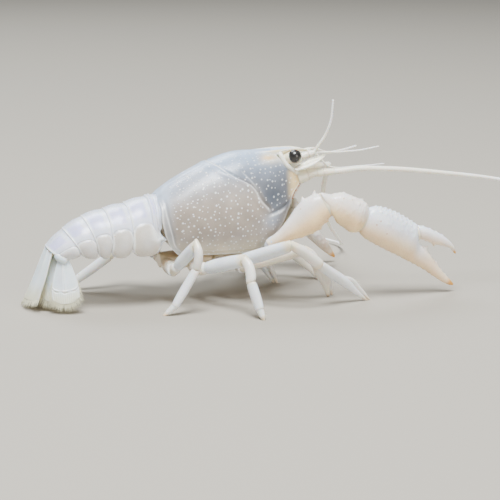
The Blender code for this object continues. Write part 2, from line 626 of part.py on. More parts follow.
def joint_plane(before, joint, after, share=0.5):
    """Normal of the plane that parts two articles at a joint, share weighing the later one."""
    return unit(unit(joint - before) * (1 - share) + unit(after - joint) * share)


def make_leg(number, joints, side, tag):
    """A walking leg: long upper article, short wrist, and a hand or a foot."""
    root, knee, wrist, ankle, foot = on_side(joints, side)
    at_root = joint_plane(leg_inner(root, side), root, knee)
    at_knee = joint_plane(root, knee, wrist, KNEE_SHARE)
    at_wrist = joint_plane(knee, wrist, ankle)
    along = unit(knee - root)
    bend = unit(np.cross(knee - root, wrist - knee))
    radius = LEG_HALF_WIDTHS[number] * LEG_THINNESS
    broad = 1 / LEG_THINNESS

    start = root + along * HALF_GAP
    end = knee - along * HALF_GAP
    path = [start + (end - start) * t for t in UPPER_PLACES]
    radii = [radius * share for share in UPPER_SHARES]
    tube(f"leg{number}_upper_{tag}", path, radii, SHELL_WHITE, LEG_SIDES, broad, bend, (at_root, at_knee))

    start = knee + at_knee * HALF_GAP
    end = wrist - unit(wrist - knee) * HALF_GAP
    run = end - start
    lift = at_knee * np.linalg.norm(run) * WRIST_ARCH
    path = [start, start + lift * 0.65 + run * 0.22, start + lift * 0.55 + run * 0.6, end]
    radii = [radius * share for share in WRIST_SHARES]
    tube(f"leg{number}_wrist_{tag}", path, radii, CREAM, LEG_SIDES, broad, bend, (at_knee, at_wrist))

    start = wrist + unit(ankle - wrist) * HALF_GAP
    if number > 3:
        path = [start, start + (ankle - start) * 0.35, ankle, ankle + (foot - ankle) * 0.12, foot]
        radii = [radius * share for share in FOOT_SHARES] + [FOOT_RADIUS]
        name = f"leg{number}_foot_{tag}"
        tube(name, path, radii, SHELL_WHITE, LEG_SIDES, broad, bend, (at_wrist, (0, 0, 1)))
        return
    aim = unit(ankle - wrist)
    across = unit(np.cross(aim, (0, 0, 1)))
    spread = np.cross(across, aim) * LEG_HALF_WIDTHS[number]
    fixed_tip = (foot - spread * 0.5) * (1, 1, 0)
    moving_tip = (foot + spread * 0.5) * (1, 1, 0)
    path = [start, start + (ankle - start) * 0.3, ankle, fixed_tip]
    radii = [radius * share for share in HAND_SHARES] + [FOOT_RADIUS]
    name = f"leg{number}_hand_{tag}"
    hand = tube(name, path, radii, SHELL_WHITE, LEG_SIDES, broad, bend, (at_wrist, (0, 0, 1)))
    path = [ankle - aim * 1.4 + spread * 0.3, ankle + aim * 0.8 + spread * 0.8, moving_tip]
    radii = [radius * share for share in FINGER_SHARES] + [FOOT_RADIUS * 0.8]
    finger = tube("finger", path, radii, SHELL_WHITE, 8, ends=(None, (0, 0, 1)))
    fuse(hand, [finger])


def plane_point(origin, along, across, pair):
    """Point of a claw outline pair, (along, across) millimetres from origin."""
    return origin + along * pair[0] + across * pair[1]


def flat_loft(name, origin, along, across, upper, lower, half_thickness, colour, ends=(None, None)):
    """A claw article through rings that each span one upper and one lower outline point.

    Where an end has a joint plane, as (point, normal away from the article), the article
    runs on past it, narrowing, and is cut there.
    """
    thick = np.cross(along, across)
    rings = []
    for high, low, half in zip(upper, lower, half_thickness):
        top = plane_point(origin, along, across, high)
        foot = plane_point(origin, along, across, low)
        rings.append(oval((top + foot) / 2, (top - foot) / 2, thick * half, CLAW_SIDES, 0.85))
    for at, end, way in ((0, ends[0], -1), (len(rings), ends[1], 1)):
        if end is not None:
            last = rings[0] if at == 0 else rings[-1]
            middle = last.mean(axis=0)
            rings.insert(at, middle + (last - middle) * RUN_OUT_SHARE + along * way * RUN_OUT)
    made = loft(name, rings, colour)
    for end in ends:
        if end is not None:
            trim(made, *end)
    return made


def spines_on(origin, along, across, outline, places, size, end=None):
    """Spines on an outline edge at given distances along it, leaning forward.

    size is their height, their lean and their radius. Those that would reach the joint plane
    given as end, a point and a normal, are left out.
    """
    height, lean, radius = size
    pieces = []
    for place, offset in places:
        level = smooth(outline, place)
        thick = np.cross(along, across) * offset
        surface = plane_point(origin, along, across, (place, level)) + thick
        sink = np.sign(level) * across * (1 + abs(offset) * 0.25)
        tip = surface + np.sign(level) * across * height + along * lean - thick * 0.1
        if end is None or (tip + along * radius - end[0]) @ end[1] < 0:
            pieces.append(cone(surface - sink, tip, radius))
    return pieces


def turned(outline, pivot, degrees):
    """An outline's pairs, turned clockwise about a pivot pair."""
    c, s = np.cos(np.radians(degrees)), np.sin(np.radians(degrees))
    moved = [(a - pivot[0], b - pivot[1]) for a, b in outline]
    return [(pivot[0] + c * a + s * b, pivot[1] - s * a + c * b) for a, b in moved]


def stretch(outline, share):
    """An outline's pairs, lengthened by share."""
    return [(a * share, b) for a, b in outline]


def make_claw(joints, side, tag, open_out, elbow_share, closed):
    """Arm, wrist, hand with the fixed finger, and the movable finger of one claw.

    open_out is the direction that the movable finger lies in from the fixed one,
    elbow_share how much of the bend at the elbow is taken by the arm's slanted end, and
    closed how many degrees the movable finger is shut from its widest.
    """
    coxa_end, start, elbow, wrist, tip = on_side(joints, side)
    arm = unit(elbow - start)
    fore = unit(wrist - elbow)
    tip_line = unit(tip - wrist)
    across_arm, across_fore, across_hand = (
        unit(np.cross(np.cross(v, open_out), v)) for v in (arm, fore, tip_line)
    )
    slant = np.arctan2(-HAND_TIP[1], HAND_TIP[0])
    hand = tip_line * np.cos(slant) + across_hand * np.sin(slant)
    across_hand = across_hand * np.cos(slant) - tip_line * np.sin(slant)

    at_elbow = joint_plane(start, elbow, wrist, elbow_share)
    at_wrist = joint_plane(elbow, wrist, wrist + hand, 0.85)

    reach = np.linalg.norm(elbow - start) / ARM_UPPER[-1][0]
    upper, lower = stretch(ARM_UPPER, reach), stretch(ARM_LOWER, reach)
    end = (elbow - at_elbow * HALF_GAP, at_elbow)
    body = flat_loft(
        f"claw_arm_{tag}", start, arm, across_arm, upper, lower, ARM_HALF_THICKNESS, SHELL_WHITE, (None, end)
    )
    first = unit(start - coxa_end)
    path = [coxa_end + first * HALF_GAP, coxa_end + first * 2.2, start + arm * 3.2]
    base_plane = joint_plane(claw_inner(coxa_end, side), coxa_end, start)
    base = tube("base", path, CLAW_BASE_RADII, SHELL_WHITE, 10, ends=(base_plane, None))
    spines = spines_on(start, arm, across_arm, upper, stretch(ARM_SPINES, reach), ARM_SPINE_SIZE, end)
    spines += spines_on(start, arm, across_arm, lower, stretch(ARM_TEETH, reach), ARM_TOOTH_SIZE, end)
    fuse(body, [base] + spines)

    reach = np.linalg.norm(wrist - elbow) / WRIST_UPPER[-1][0]
    upper, lower = stretch(WRIST_UPPER, reach), stretch(WRIST_LOWER, reach)
    ends = ((elbow + at_elbow * HALF_GAP, -at_elbow), (wrist - at_wrist * HALF_GAP, at_wrist))
    body = flat_loft(
        f"claw_wrist_{tag}", elbow, fore, across_fore, upper, lower, WRIST_HALF_THICKNESS, SHELL_WHITE, ends
    )
    fuse(body, spines_on(elbow, fore, across_fore, upper, stretch(WRIST_SPINES, reach), WRIST_SPINE_SIZE))

    reach = np.linalg.norm(tip - wrist) / np.hypot(*HAND_TIP)
    upper, lower, finger_upper, finger_lower = (
        stretch(outline, reach) for outline in (HAND_UPPER, HAND_LOWER, FINGER_UPPER, FINGER_LOWER)
    )
    body = flat_loft(
        f"claw_hand_{tag}", wrist, hand, across_hand, upper, lower, HAND_HALF_THICKNESS, PEACH,
        ((wrist + at_wrist * HALF_GAP, -at_wrist), None),
    )
    spines = spines_on(wrist, hand, across_hand, upper[:6], stretch(PALM_KNOBS, reach), PALM_KNOB_SIZE)
    spines.append(tooth(wrist, hand, across_hand, *stretch(HAND_TOOTH, reach)))
    fuse(body, spines)

    pivot = (FINGER_PIVOT[0] * reach, FINGER_PIVOT[1])
    finger_upper, finger_lower = (turned(o, pivot, closed) for o in (finger_upper, finger_lower))
    palm_end = [plane_point(wrist, hand, across_hand, pair) for pair in (upper[5], upper[6])]
    seat = unit(np.cross(palm_end[1] - palm_end[0], np.cross(hand, across_hand)))
    body = flat_loft(
        f"claw_finger_{tag}", wrist, hand, across_hand, finger_upper, finger_lower,
        FINGER_HALF_THICKNESS, PEACH, ((palm_end[0] - seat * GAP, seat), None),
    )
    places = stretch(FINGER_KNOBS, reach)
    spines = spines_on(wrist, hand, across_hand, finger_upper, places, FINGER_KNOB_SIZE)
    root, point = turned(stretch(FINGER_TOOTH, reach), pivot, closed)
    spines.append(tooth(wrist, hand, across_hand, root, point))
    fuse(body, spines)


def tooth(origin, along, across, root, tip):
    """A blunt tooth on the biting edge of a claw finger."""
    root, tip = (plane_point(origin, along, across, pair) for pair in (root, tip))
    return cone(root, tip, TOOTH_RADIUS)


def make_eye(side, tag, centre):
    """An eyestalk and the black eye that caps it."""
    centre = on_side([centre], side)[0]
    root, face = on_front(*STALK_ROOT, side)
    axis = unit(centre - root)
    across = unit(np.cross(axis, (0, 0, 1)))
    over = np.cross(across, axis)
    back = -0.55 * EYE_RADIUS
    rings = []
    latitudes = np.linspace(np.arcsin(back / EYE_RADIUS), np.radians(80), 9)
    for angle in latitudes:
        radius = EYE_RADIUS * np.cos(angle)
        rings.append(oval(centre + axis * EYE_RADIUS * np.sin(angle), across * radius, over * radius, 16))
    loft(f"eye_{tag}", rings, EYE_BLACK, 0.1)
    end = centre + axis * (back - GAP)
    path = [root, root + (end - root) * 0.5, end]
    radii = [STALK_RADIUS, STALK_RADIUS * 0.95, EYE_RADIUS * 0.84]
    tube(f"eyestalk_{tag}", path, radii, CREAM, 12, ends=(face, None))


def feeler(name, points, thick, power, ends=(None, None)):
    """A six-sided feeler along a smooth path, tapering as (1 - share) ** power."""
    path = bend_path(points, 5)
    share = np.linspace(0, 1, len(path))
    radii = FEELER_TIP_RADIUS + (thick - FEELER_TIP_RADIUS) * (1 - share) ** power
    return tube(name, path, radii, SHELL_WHITE, 6, ends=ends)


def make_antennule(side, tag, upper, lower):
    """A small feeler: a stout three-jointed stem with two thin lashes fused on its end."""
    knee, end = on_side([ANTENNULE_KNEE, ANTENNULE_END], side)
    root, face = on_front(*ANTENNULE_ROOT, side)
    r = ANTENNULE_RADIUS
    middle = root + (knee - root) * 0.5
    path = [root, middle, knee, knee + (end - knee) * 0.55, end]
    radii = [r, r * 1.05, r * 0.85, r * 0.85, r * 0.6]
    stem = tube(f"antennule_{tag}", path, radii, CREAM, 10, ends=(face, None))
    back = unit(knee - end) * 1.0
    lashes = []
    for number, points in enumerate((upper, lower)):
        lift = np.array([0, 0, 0.25 - 0.5 * number])
        route = [end + back + lift, end - back * 0.8 + lift] + on_side(points, side)
        lashes.append(feeler("lash", route, LASH_RADIUS, 1.1))
    return fuse(stem, lashes)


def make_antenna(side, tag, route):
    """A long feeler: jointed base, flat scale beside it, and the whip."""
    elbow, end = on_side([ANTENNA_ELBOW, ANTENNA_END], side)
    root, face = on_front(*ANTENNA_ROOT, side)
    r = ANTENNA_RADIUS
    path = [root, elbow, elbow + (end - elbow) * 0.45, end]
    tube(f"antenna_base_{tag}", path, [r, r * 0.85, r * 0.6, r * 0.42], CREAM, 12, ends=(face, None))
    root, tip = on_side([SCALE_ROOT, SCALE_TIP], side)
    out = on_side([SCALE_OUTWARD], side)[0]
    name = f"antenna_scale_{tag}"
    blade(name, root, tip, SCALE_WIDTH / 2, SCALE_THICKNESS, out, SCALE_CUP, CREAM, SCALE_SHAPE)
    run = unit(end - elbow)
    route = [end + run * GAP, end + run * 1.6] + on_side(route, side)
    feeler(f"antenna_{tag}", route, WHIP_RADIUS, 0.9, (end - elbow, None))


def make_mouthpart(side, tag):
    """A third jaw foot: a broad bristly article folded up under the head, with a bent end."""
    path = on_side(JAW_FOOT, side)
    tube(f"jaw_foot_{tag}", path, JAW_FOOT_RADII, CREAM, 10, up=(1, 0, -0.6), ends=((1, 0, 0), None))


def build():
    """Makes every piece of the animal."""
    make_carapace()
    make_breastplate()
    for k in range(6):
        make_abdomen(k)
    make_tail_fan()
    make_antennule(-1, "r", RIGHT_UPPER_LASH, RIGHT_LOWER_LASH)
    make_antennule(1, "l", LEFT_UPPER_LASH, LEFT_LOWER_LASH)
    make_antenna(-1, "r", RIGHT_WHIP)
    make_antenna(1, "l", LEFT_WHIP)
    make_eye(-1, "r", RIGHT_EYE_CENTRE)
    make_eye(1, "l", LEFT_EYE_CENTRE)
    for side, tag, legs in ((1, "l", LEFT_LEGS), (-1, "r", RIGHT_LEGS)):
        make_mouthpart(side, tag)
        for number, joints in legs.items():
            make_leg(number, joints, side, tag)
    make_claw(RIGHT_CLAW, -1, "r", RIGHT_OPEN_OUT, RIGHT_ELBOW_SHARE, RIGHT_CLOSED)
    make_claw(LEFT_CLAW, 1, "l", LEFT_OPEN_OUT, LEFT_ELBOW_SHARE, LEFT_CLOSED)


def centre_on_floor():
    """Moves the animal so that the middle of its box, at its lowest level, is the origin."""
    corners = [o.matrix_world @ v.co for o in bpy.context.scene.objects for v in o.data.vertices]
    low = np.min(corners, axis=0)
    high = np.max(corners, axis=0)
    shift = Vector(((low[0] + high[0]) / 2, (low[1] + high[1]) / 2, low[2]))
    for made in bpy.context.scene.objects:
        made.location -= shift


for old in list(bpy.data.objects):
    bpy.data.objects.remove(old)
build()
centre_on_floor()
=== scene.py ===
"""Everglades crayfish, white colour form: a still, life-size model on a plain pale floor.

All shapes are set out in millimetres from the floor point under the middle of the carapace,
+X forward, +Y to the animal's left, +Z up, and put into the model's frame as they are made.
"""
import bmesh
import bpy
import numpy as np
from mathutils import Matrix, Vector


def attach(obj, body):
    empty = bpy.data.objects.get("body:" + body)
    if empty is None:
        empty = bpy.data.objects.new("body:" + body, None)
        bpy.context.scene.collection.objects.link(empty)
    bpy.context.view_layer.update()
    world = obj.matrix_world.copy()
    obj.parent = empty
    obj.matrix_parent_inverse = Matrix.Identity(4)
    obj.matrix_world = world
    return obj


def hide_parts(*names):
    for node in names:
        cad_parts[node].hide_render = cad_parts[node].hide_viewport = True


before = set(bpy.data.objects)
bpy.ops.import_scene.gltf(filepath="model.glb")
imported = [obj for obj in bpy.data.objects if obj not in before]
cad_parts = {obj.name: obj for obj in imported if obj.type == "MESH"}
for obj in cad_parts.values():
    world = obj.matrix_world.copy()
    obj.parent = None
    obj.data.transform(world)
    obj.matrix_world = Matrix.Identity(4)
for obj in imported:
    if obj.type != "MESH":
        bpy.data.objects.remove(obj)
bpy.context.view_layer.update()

# Studio: a plain pale floor, a broad cool light from above, a cool one from the far side and
# a low warm fill from the camera's side. The camera looks at the animal's right flank from
# a little behind and above.
MM = 0.001
FLOOR_POINT = np.array((-13.939, -13.158, 0.0))
VIEW_TURN, VIEW_RISE, VIEW_REACH = np.radians(-15), np.radians(13), 400.0
VIEW_AIM = np.array((0.0, 0.0, 11.3))
LIGHT_AIM = (2, 0, 15)
VIEW_LENS = 110.77
FLOOR_COLOUR = (0.35, 0.32, 0.27, 1)
ROOM_COLOUR, ROOM_STRENGTH = (0.92, 0.95, 1.0, 1), 0.28
FLOOR_REACH = 9


def placed(points):
    """Metres in the model's frame: (millimetres + FLOOR_POINT) / 1000."""
    return (np.asarray(points, float) + FLOOR_POINT) * MM


def linear(red, green, blue):
    """Scene colour of an sRGB triple: ((c + 0.055) / 1.055) ** 2.4, c out of 255."""
    c = np.array((red, green, blue), float) / 255
    return np.where(c < 0.04045, c / 12.92, ((c + 0.055) / 1.055) ** 2.4)


def lamp(name, place, size, watts, colour):
    """A square area light at a place in millimetres that faces the animal's middle."""
    light = bpy.data.lights.new(name, "AREA")
    light.size, light.energy, light.color = size * MM, watts, colour
    made = bpy.data.objects.new(name, light)
    made.location = placed(place)
    turn = Vector(placed(LIGHT_AIM)) - made.location
    made.rotation_euler = turn.to_track_quat("-Z", "Y").to_euler()
    bpy.context.scene.collection.objects.link(made)


back = np.array((np.sin(VIEW_TURN), -np.cos(VIEW_TURN), np.tan(VIEW_RISE))) * np.cos(VIEW_RISE)
lens = bpy.data.cameras.new("view")
lens.sensor_width, lens.lens, lens.clip_start = 36, VIEW_LENS, 0.01
view = bpy.data.objects.new("view", lens)
view.location = placed(VIEW_AIM + back * VIEW_REACH)
view.rotation_euler = Vector(-back).to_track_quat("-Z", "Y").to_euler()
bpy.context.scene.collection.objects.link(view)
bpy.context.scene.camera = view

lamp("top_light", (-120, -260, 900), 420, 25.0, (0.95, 0.98, 1.0))
lamp("rim_light", (-150, 800, 900), 500, 11.0, (0.9, 0.96, 1.0))
lamp("camera_fill", (300, -900, 260), 500, 4.0, (1.0, 0.93, 0.84))
world = bpy.data.worlds.new("room")
world.use_nodes = True
world.node_tree.nodes["Background"].inputs["Color"].default_value = ROOM_COLOUR
world.node_tree.nodes["Background"].inputs["Strength"].default_value = ROOM_STRENGTH
bpy.context.scene.world = world

ground = bpy.data.meshes.new("floor")
ground.from_pydata([(x * FLOOR_REACH, y * FLOOR_REACH, 0) for x, y in ((-1, -1), (1, -1), (1, 1), (-1, 1))],
                   [], [(0, 1, 2, 3)])
floor = bpy.data.objects.new("floor", ground)
bpy.context.scene.collection.objects.link(floor)
plain = bpy.data.materials.new("floor_plain")
plain.use_nodes = True
plain.node_tree.nodes["Principled BSDF"].inputs["Base Color"].default_value = FLOOR_COLOUR
plain.node_tree.nodes["Principled BSDF"].inputs["Roughness"].default_value = 0.9
ground.materials.append(plain)

# Carapace: one thin, stiff shell over head and chest, grey where the gills show through,
# with the cervical groove round it, a folded rear margin and pale tubercles. The rostrum
# runs out from it over the eyes. It is fixed to the body along the back only.
ROLL = 140
CARAPACE_TOP = [(-26, 26.8), (-21, 30.4), (-16, 33.2), (-10, 35.8), (-5, 37.3), (2, 37.6), (12, 37.3)]
CARAPACE_LOW = [(-26, 19.5), (-24, 16.5), (-22.4, 13.8), (-20, 12.6), (-14, 12.4), (12, 12.4)]
CARAPACE_MIDDLE = [(-26, 22.0), (-10, 22.6), (0, 23.0), (6, 23.7), (9, 24.6), (12, 26.2)]
CARAPACE_HALF_WIDTH = [(-26, 8.1), (-21, 9.4), (-14, 10.3), (-7, 10.5), (-1, 10.1), (4, 8.7), (8, 6.7),
                       (12, 4.9)]
REAR_EDGE = [(0, -24.7), (25, -25.1), (60, -24.9), (110, -24.4), (128, -23.2), (140, -20.4)]
FRONT_EDGE = [(0, 5.6), (25, 6.2), (40, 7.9), (50, 9.3), (60, 11.4), (67, 12.3), (73, 11.9), (80, 10.2),
              (90, 9.0), (110, 6.2), (140, -0.7)]
GROOVE_LINE = [(0, -11.6), (20, -10.2), (50, -5.3), (61, -1.6), (78, 0.9), (90, 3.2), (110, 1.5), (140, -5.0)]
BRANCH_LINE = [(0, -3.9), (44, -3.6), (54, -1.9), (66, 0.0), (140, 0.0)]
ARC = 12.5 * np.pi / 180
DOT_SPACING = 1.4
MERGE, SLIVER = 2e-6, 1e-7
SHELL_TAUPE = linear(168, 156, 144)
SHELL_BLUE = linear(158, 176, 200)
SHELL_STEEL = linear(92, 103, 118)
SHELL_PALE = linear(200, 218, 240)
RIM_WHITE = linear(246, 246, 244)
HEAD_CREAM = linear(247, 235, 202)
FLESH = linear(226, 208, 178)
CHEEK_CREAM = linear(240, 214, 160)
BUFF = linear(232, 192, 130)
SPECK_ORANGE = linear(196, 122, 52)
DOT_WHITE = linear(246, 249, 251)


def smooth(points, at):
    """Cubic Hermite curve through (place, value) pairs, with slopes from the neighbours."""
    place, value = np.array(points, float).T
    slope = np.gradient(value, place)
    i = np.clip(np.searchsorted(place, at) - 1, 0, len(place) - 2)
    step = place[i + 1] - place[i]
    t = np.clip((at - place[i]) / step, 0, 1)
    return ((2 * t**3 - 3 * t**2 + 1) * value[i] + (t**3 - 2 * t**2 + t) * step * slope[i]
            + (3 * t**2 - 2 * t**3) * value[i + 1] + (t**3 - t**2) * step * slope[i + 1])


def ridge(distance, width):
    """A rounded line: exp(-(distance / width) ** 2)."""
    return np.exp(-(np.asarray(distance) / width) ** 2)


def ramp(value, low, high):
    """Smooth step from 0 at low to 1 at high: 3 t**2 - 2 t**3."""
    t = np.clip((value - low) / (high - low), 0, 1)
    return t * t * (3 - 2 * t)


def mix(first, second, share):
    """Colours blended by share: first + (second - first) * share."""
    return first + (second - first) * np.asarray(share)[..., None]


def grid_faces(rows, columns):
    """Quads between the rows of a grid of points, on round the columns and back to the first."""
    r, c = np.meshgrid(np.arange(rows - 1), np.arange(columns), indexing="ij")
    n = (c + 1) % columns
    corners = (r * columns + c, r * columns + n, (r + 1) * columns + n, (r + 1) * columns + c)
    return np.stack(corners, -1).reshape(-1, 4)


def join_up(mesh, slivers=True):
    """Merges points closer than MERGE, takes out slivers if asked and turns all faces outward."""
    shape = bmesh.new()
    shape.from_mesh(mesh)
    bmesh.ops.remove_doubles(shape, verts=shape.verts, dist=MERGE)
    if slivers:
        bmesh.ops.dissolve_degenerate(shape, edges=shape.edges, dist=SLIVER)
    bmesh.ops.recalc_face_normals(shape, faces=shape.faces)
    shape.to_mesh(mesh)
    shape.free()


def add_piece(name, points, faces, finish, node, colours, merge=True):
    """A named mesh from points in millimetres, with a finish and its colour on each point."""
    mesh = bpy.data.meshes.new(name)
    mesh.from_pydata(placed(points).tolist(), [], np.asarray(faces).tolist())
    coat = mesh.color_attributes.new("tint", "FLOAT_COLOR", "POINT")
    flat = np.ones((len(points), 4), np.float32)
    flat[:, :3] = colours
    coat.data.foreach_set("color", flat.ravel())
    if merge:
        join_up(mesh)
    mesh.shade_smooth()
    mesh.materials.append(finish)
    made = bpy.data.objects.new(name, mesh)
    bpy.context.scene.collection.objects.link(made)
    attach(made, "root")
    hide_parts(node)
    return made


def add_rings(name, rings, finish, node, colour, merge=True):
    """A closed body through rings, with one colour or a colour at each point."""
    colour = np.broadcast_to(colour, rings.shape).reshape(-1, 3)
    points, faces = rings.reshape(-1, 3), grid_faces(*rings.shape[:2])
    return add_piece(name, points, faces, finish, node, colour, merge)


def new_group(name, inputs, outputs):
    """An empty shader group with named vector or float sockets, vectors named Vector."""
    group = bpy.data.node_groups.new(name, "ShaderNodeTree")
    for labels, way in ((inputs, "INPUT"), (outputs, "OUTPUT")):
        for label in labels:
            kind = "NodeSocketVector" if label == "Vector" else "NodeSocketFloat"
            group.interface.new_socket(label, in_out=way, socket_type=kind)
    return group, group.nodes.new("NodeGroupInput"), group.nodes.new("NodeGroupOutput")


def feed(tree, socket, value):
    """Links an input to another node's output, or sets it to a value."""
    if isinstance(value, bpy.types.NodeSocket):
        tree.links.new(value, socket)
    else:
        socket.default_value = value


def wire(tree, made, **values):
    """Feeds a node's inputs by name."""
    for label, value in values.items():
        feed(tree, made.inputs[label.replace("_", " ")], value)
    return made


def reckon(tree, operation, *values):
    """A Math node of two or three inputs."""
    made = tree.nodes.new("ShaderNodeMath")
    made.operation = operation
    for socket, value in zip(made.inputs, values):
        feed(tree, socket, value)
    return made.outputs[0]


def stretch_range(tree, value, low, high, start=0.0, end=1.0):
    """A Map Range node from low..high to start..end, smooth and clamped."""
    made = tree.nodes.new("ShaderNodeMapRange")
    made.interpolation_type = "SMOOTHSTEP"
    wire(tree, made, Value=value, From_Min=low, From_Max=high, To_Min=start, To_Max=end)
    return made.outputs["Result"]


def blended(tree, share, first, second):
    """A Mix node of two colours: the first where share is 0, the second where it is 1."""
    made = tree.nodes.new("ShaderNodeMix")
    made.data_type = "RGBA"
    for socket, value in zip((made.inputs[0], made.inputs[6], made.inputs[7]), (share, first, second)):
        feed(tree, socket, value)
    return made.outputs[2]


# Grain of every hard part: cloudy tone a few millimetres wide and fine pits.
grain, grain_in, grain_out = new_group("shell_grain", ["Vector"], ["Tone", "Pits"])
for label, scale, detail in (("Tone", 260.0, 3.0), ("Pits", 2600.0, 2.0)):
    noise = wire(grain, grain.nodes.new("ShaderNodeTexNoise"), Vector=grain_in.outputs["Vector"], Scale=scale,
                 Detail=detail)
    grain.links.new(noise.outputs[0], grain_out.inputs[label])

# Round spots: one at a random place in each square of a flat grid, of random size.
spots, spots_in, spots_out = new_group("round_spots", ["Vector", "Radius", "Edge"], ["Mask"])
cells = spots.nodes.new("ShaderNodeTexVoronoi")
cells.voronoi_dimensions = "2D"
wire(spots, cells, Vector=spots_in.outputs["Vector"], Scale=1.0, Randomness=0.9)
lot = wire(spots, spots.nodes.new("ShaderNodeSeparateColor"), Color=cells.outputs["Color"])
size = reckon(spots, "MULTIPLY_ADD", lot.outputs["Red"], 0.9, 0.4)
inner = reckon(spots, "MULTIPLY", spots_in.outputs["Radius"], size)
outer = reckon(spots, "ADD", inner, spots_in.outputs["Edge"])
span = wire(spots, spots.nodes.new("ShaderNodeMapRange"), Value=cells.outputs["Distance"], From_Min=outer,
            From_Max=inner)
spots.links.new(span.outputs["Result"], spots_out.inputs["Mask"])


def attribute(tree, name):
    """An Attribute node that reads one of the mesh's own attributes."""
    made = tree.nodes.new("ShaderNodeAttribute")
    made.attribute_name = name
    return made.outputs


def shell_finish(name, rough=0.36, spot=None, fleck=0.0, depth=0.0010, tone=0.10, soft=0.3, coat=0.25):
    """Shell: the tint on each point, clouded, with pale tubercles, orange specks and fine pits.

    spot is (radius in cells, colour, height in metres): the cells are those of the mesh's
    "cell" attribute, and its "spotted" attribute says where there are spots. fleck widens
    the orange specks, which lie about 3 mm apart through the body and show where they meet
    its surface.
    """
    made = bpy.data.materials.new(name)
    made.use_nodes = True
    tree = made.node_tree
    place = tree.nodes.new("ShaderNodeTexCoord").outputs["Object"]
    texture = tree.nodes.new("ShaderNodeGroup")
    texture.node_tree = grain
    wire(tree, texture, Vector=place)
    light = stretch_range(tree, texture.outputs["Tone"], 0.3, 0.7, 1 - tone, 1 + tone)
    tint = attribute(tree, "tint")["Color"]
    shade = wire(tree, tree.nodes.new("ShaderNodeHueSaturation"), Color=tint, Value=light)
    colour = shade.outputs["Color"]
    height = reckon(tree, "MULTIPLY", texture.outputs["Pits"], 0.00002)
    if spot:
        radius, spot_colour, rise = spot
        dots = tree.nodes.new("ShaderNodeGroup")
        dots.node_tree = spots
        wire(tree, dots, Vector=attribute(tree, "cell")["Vector"], Radius=radius, Edge=0.06)
        mask = reckon(tree, "MULTIPLY", dots.outputs["Mask"], attribute(tree, "spotted")["Fac"])
        colour = blended(tree, mask, colour, (*spot_colour, 1))
        height = reckon(tree, "MULTIPLY_ADD", mask, rise, height)
    if fleck:
        rare = wire(tree, tree.nodes.new("ShaderNodeTexVoronoi"), Vector=place, Scale=350.0)
        wide = 0.05 + 0.08 * fleck
        mask = stretch_range(tree, rare.outputs["Distance"], wide, wide * 0.5, 0.0, 0.8)
        colour = blended(tree, mask, colour, (*SPECK_ORANGE, 1))
    bump = wire(tree, tree.nodes.new("ShaderNodeBump"), Height=height, Strength=1.0, Distance=1.0)
    roughness = stretch_range(tree, texture.outputs["Pits"], 0.3, 0.7, rough - 0.06, rough + 0.08)
    wire(tree, tree.nodes["Principled BSDF"], Base_Color=colour, Roughness=roughness,
         Normal=bump.outputs["Normal"], Subsurface_Weight=soft, Subsurface_Scale=depth,
         Subsurface_Radius=(1.0, 0.72, 0.5), Coat_Weight=coat, Coat_Roughness=0.22)
    return made


def carapace_point(x, roll, lift=0.0):
    """Point at x and roll degrees: y = w sin(roll) ** 0.92, z = middle + rise cos(roll)."""
    top, middle, low = (smooth(line, x) for line in (CARAPACE_TOP, CARAPACE_MIDDLE, CARAPACE_LOW))
    turn = np.radians(roll)
    foot = abs(np.cos(np.radians(ROLL)))
    wide = smooth(CARAPACE_HALF_WIDTH, x) + lift * np.abs(np.sin(turn))
    rise = np.where(np.cos(turn) > 0, top - middle + lift, (middle - low + lift * 0.4) / foot)
    y = wide * np.sign(roll) * np.abs(np.sin(turn)) ** 0.92
    return np.stack([x, y, middle + rise * np.cos(turn)], -1)


def closed_ends(rings, tint, colour, dome=(0, 0), steps=7):
    """Turned-in rims and caps: ring * s about its middle, s from 1 to 0, pushed out by dome."""
    share = np.concatenate([[0.985, 0.955], np.linspace(0.9, 0.0, steps)])
    caps, shades = [], []
    for end, way in ((0, -1), (-1, 1)):
        middle, size = rings[end].mean(0), share[:, None, None]
        outward = np.array((way, 0, 0)) * dome[end]
        caps.append(middle + (rings[end] - middle) * size + outward * (1 - size**2))
        fade = np.clip((1 - share) * 12, 0, 1)[:, None] * np.ones(rings.shape[1])
        shades.append(mix(tint[end][None], colour, fade))
    return (np.concatenate([caps[0][::-1], rings, caps[1]]),
            np.concatenate([shades[0][::-1], tint, shades[1]]))


def stations(*runs):
    """Places along a body, from runs of (start, end, count) that follow on each other."""
    return np.concatenate([*(np.linspace(*run)[:-1] for run in runs[:-1]), np.linspace(*runs[-1])])


shell = shell_finish("carapace_shell", 0.36, (0.125, DOT_WHITE, 0.00011), depth=0.0012)
roll_line = np.linspace(-ROLL, ROLL, 281)
rear, front = smooth(REAR_EDGE, np.abs(roll_line)), smooth(FRONT_EDGE, np.abs(roll_line))
t = stations((0, 0.06, 14), (0.06, 0.94, 190), (0.94, 1, 14))
x = rear + (front - rear) * t[:, None]
roll = np.broadcast_to(roll_line, x.shape)
side = np.abs(roll)
slant = np.sqrt(1 + (np.gradient(smooth(GROOVE_LINE, roll_line), roll_line) / ARC) ** 2)
from_groove = (x - smooth(GROOVE_LINE, side)) / slant
from_rear, from_front, from_low = x - rear, front - x, (ROLL - side) * 0.26
from_branch = x - smooth(BRANCH_LINE, side)
level = (side - 91.5) * ARC + (x - 5.0) * 0.1
flank, low_flank = ramp(side, 25, 60), ramp(side, 30, 60)
groove_run = ramp(side, 93, 86)
level_run = ramp(x, 2.0, 3.6) * ramp(from_front, 0.6, 2.2)
groove = np.maximum(ridge(from_groove, 0.26 + 0.14 * ramp(side, 8, 45)) * groove_run,
                    0.8 * ridge(level, 0.42) * level_run)
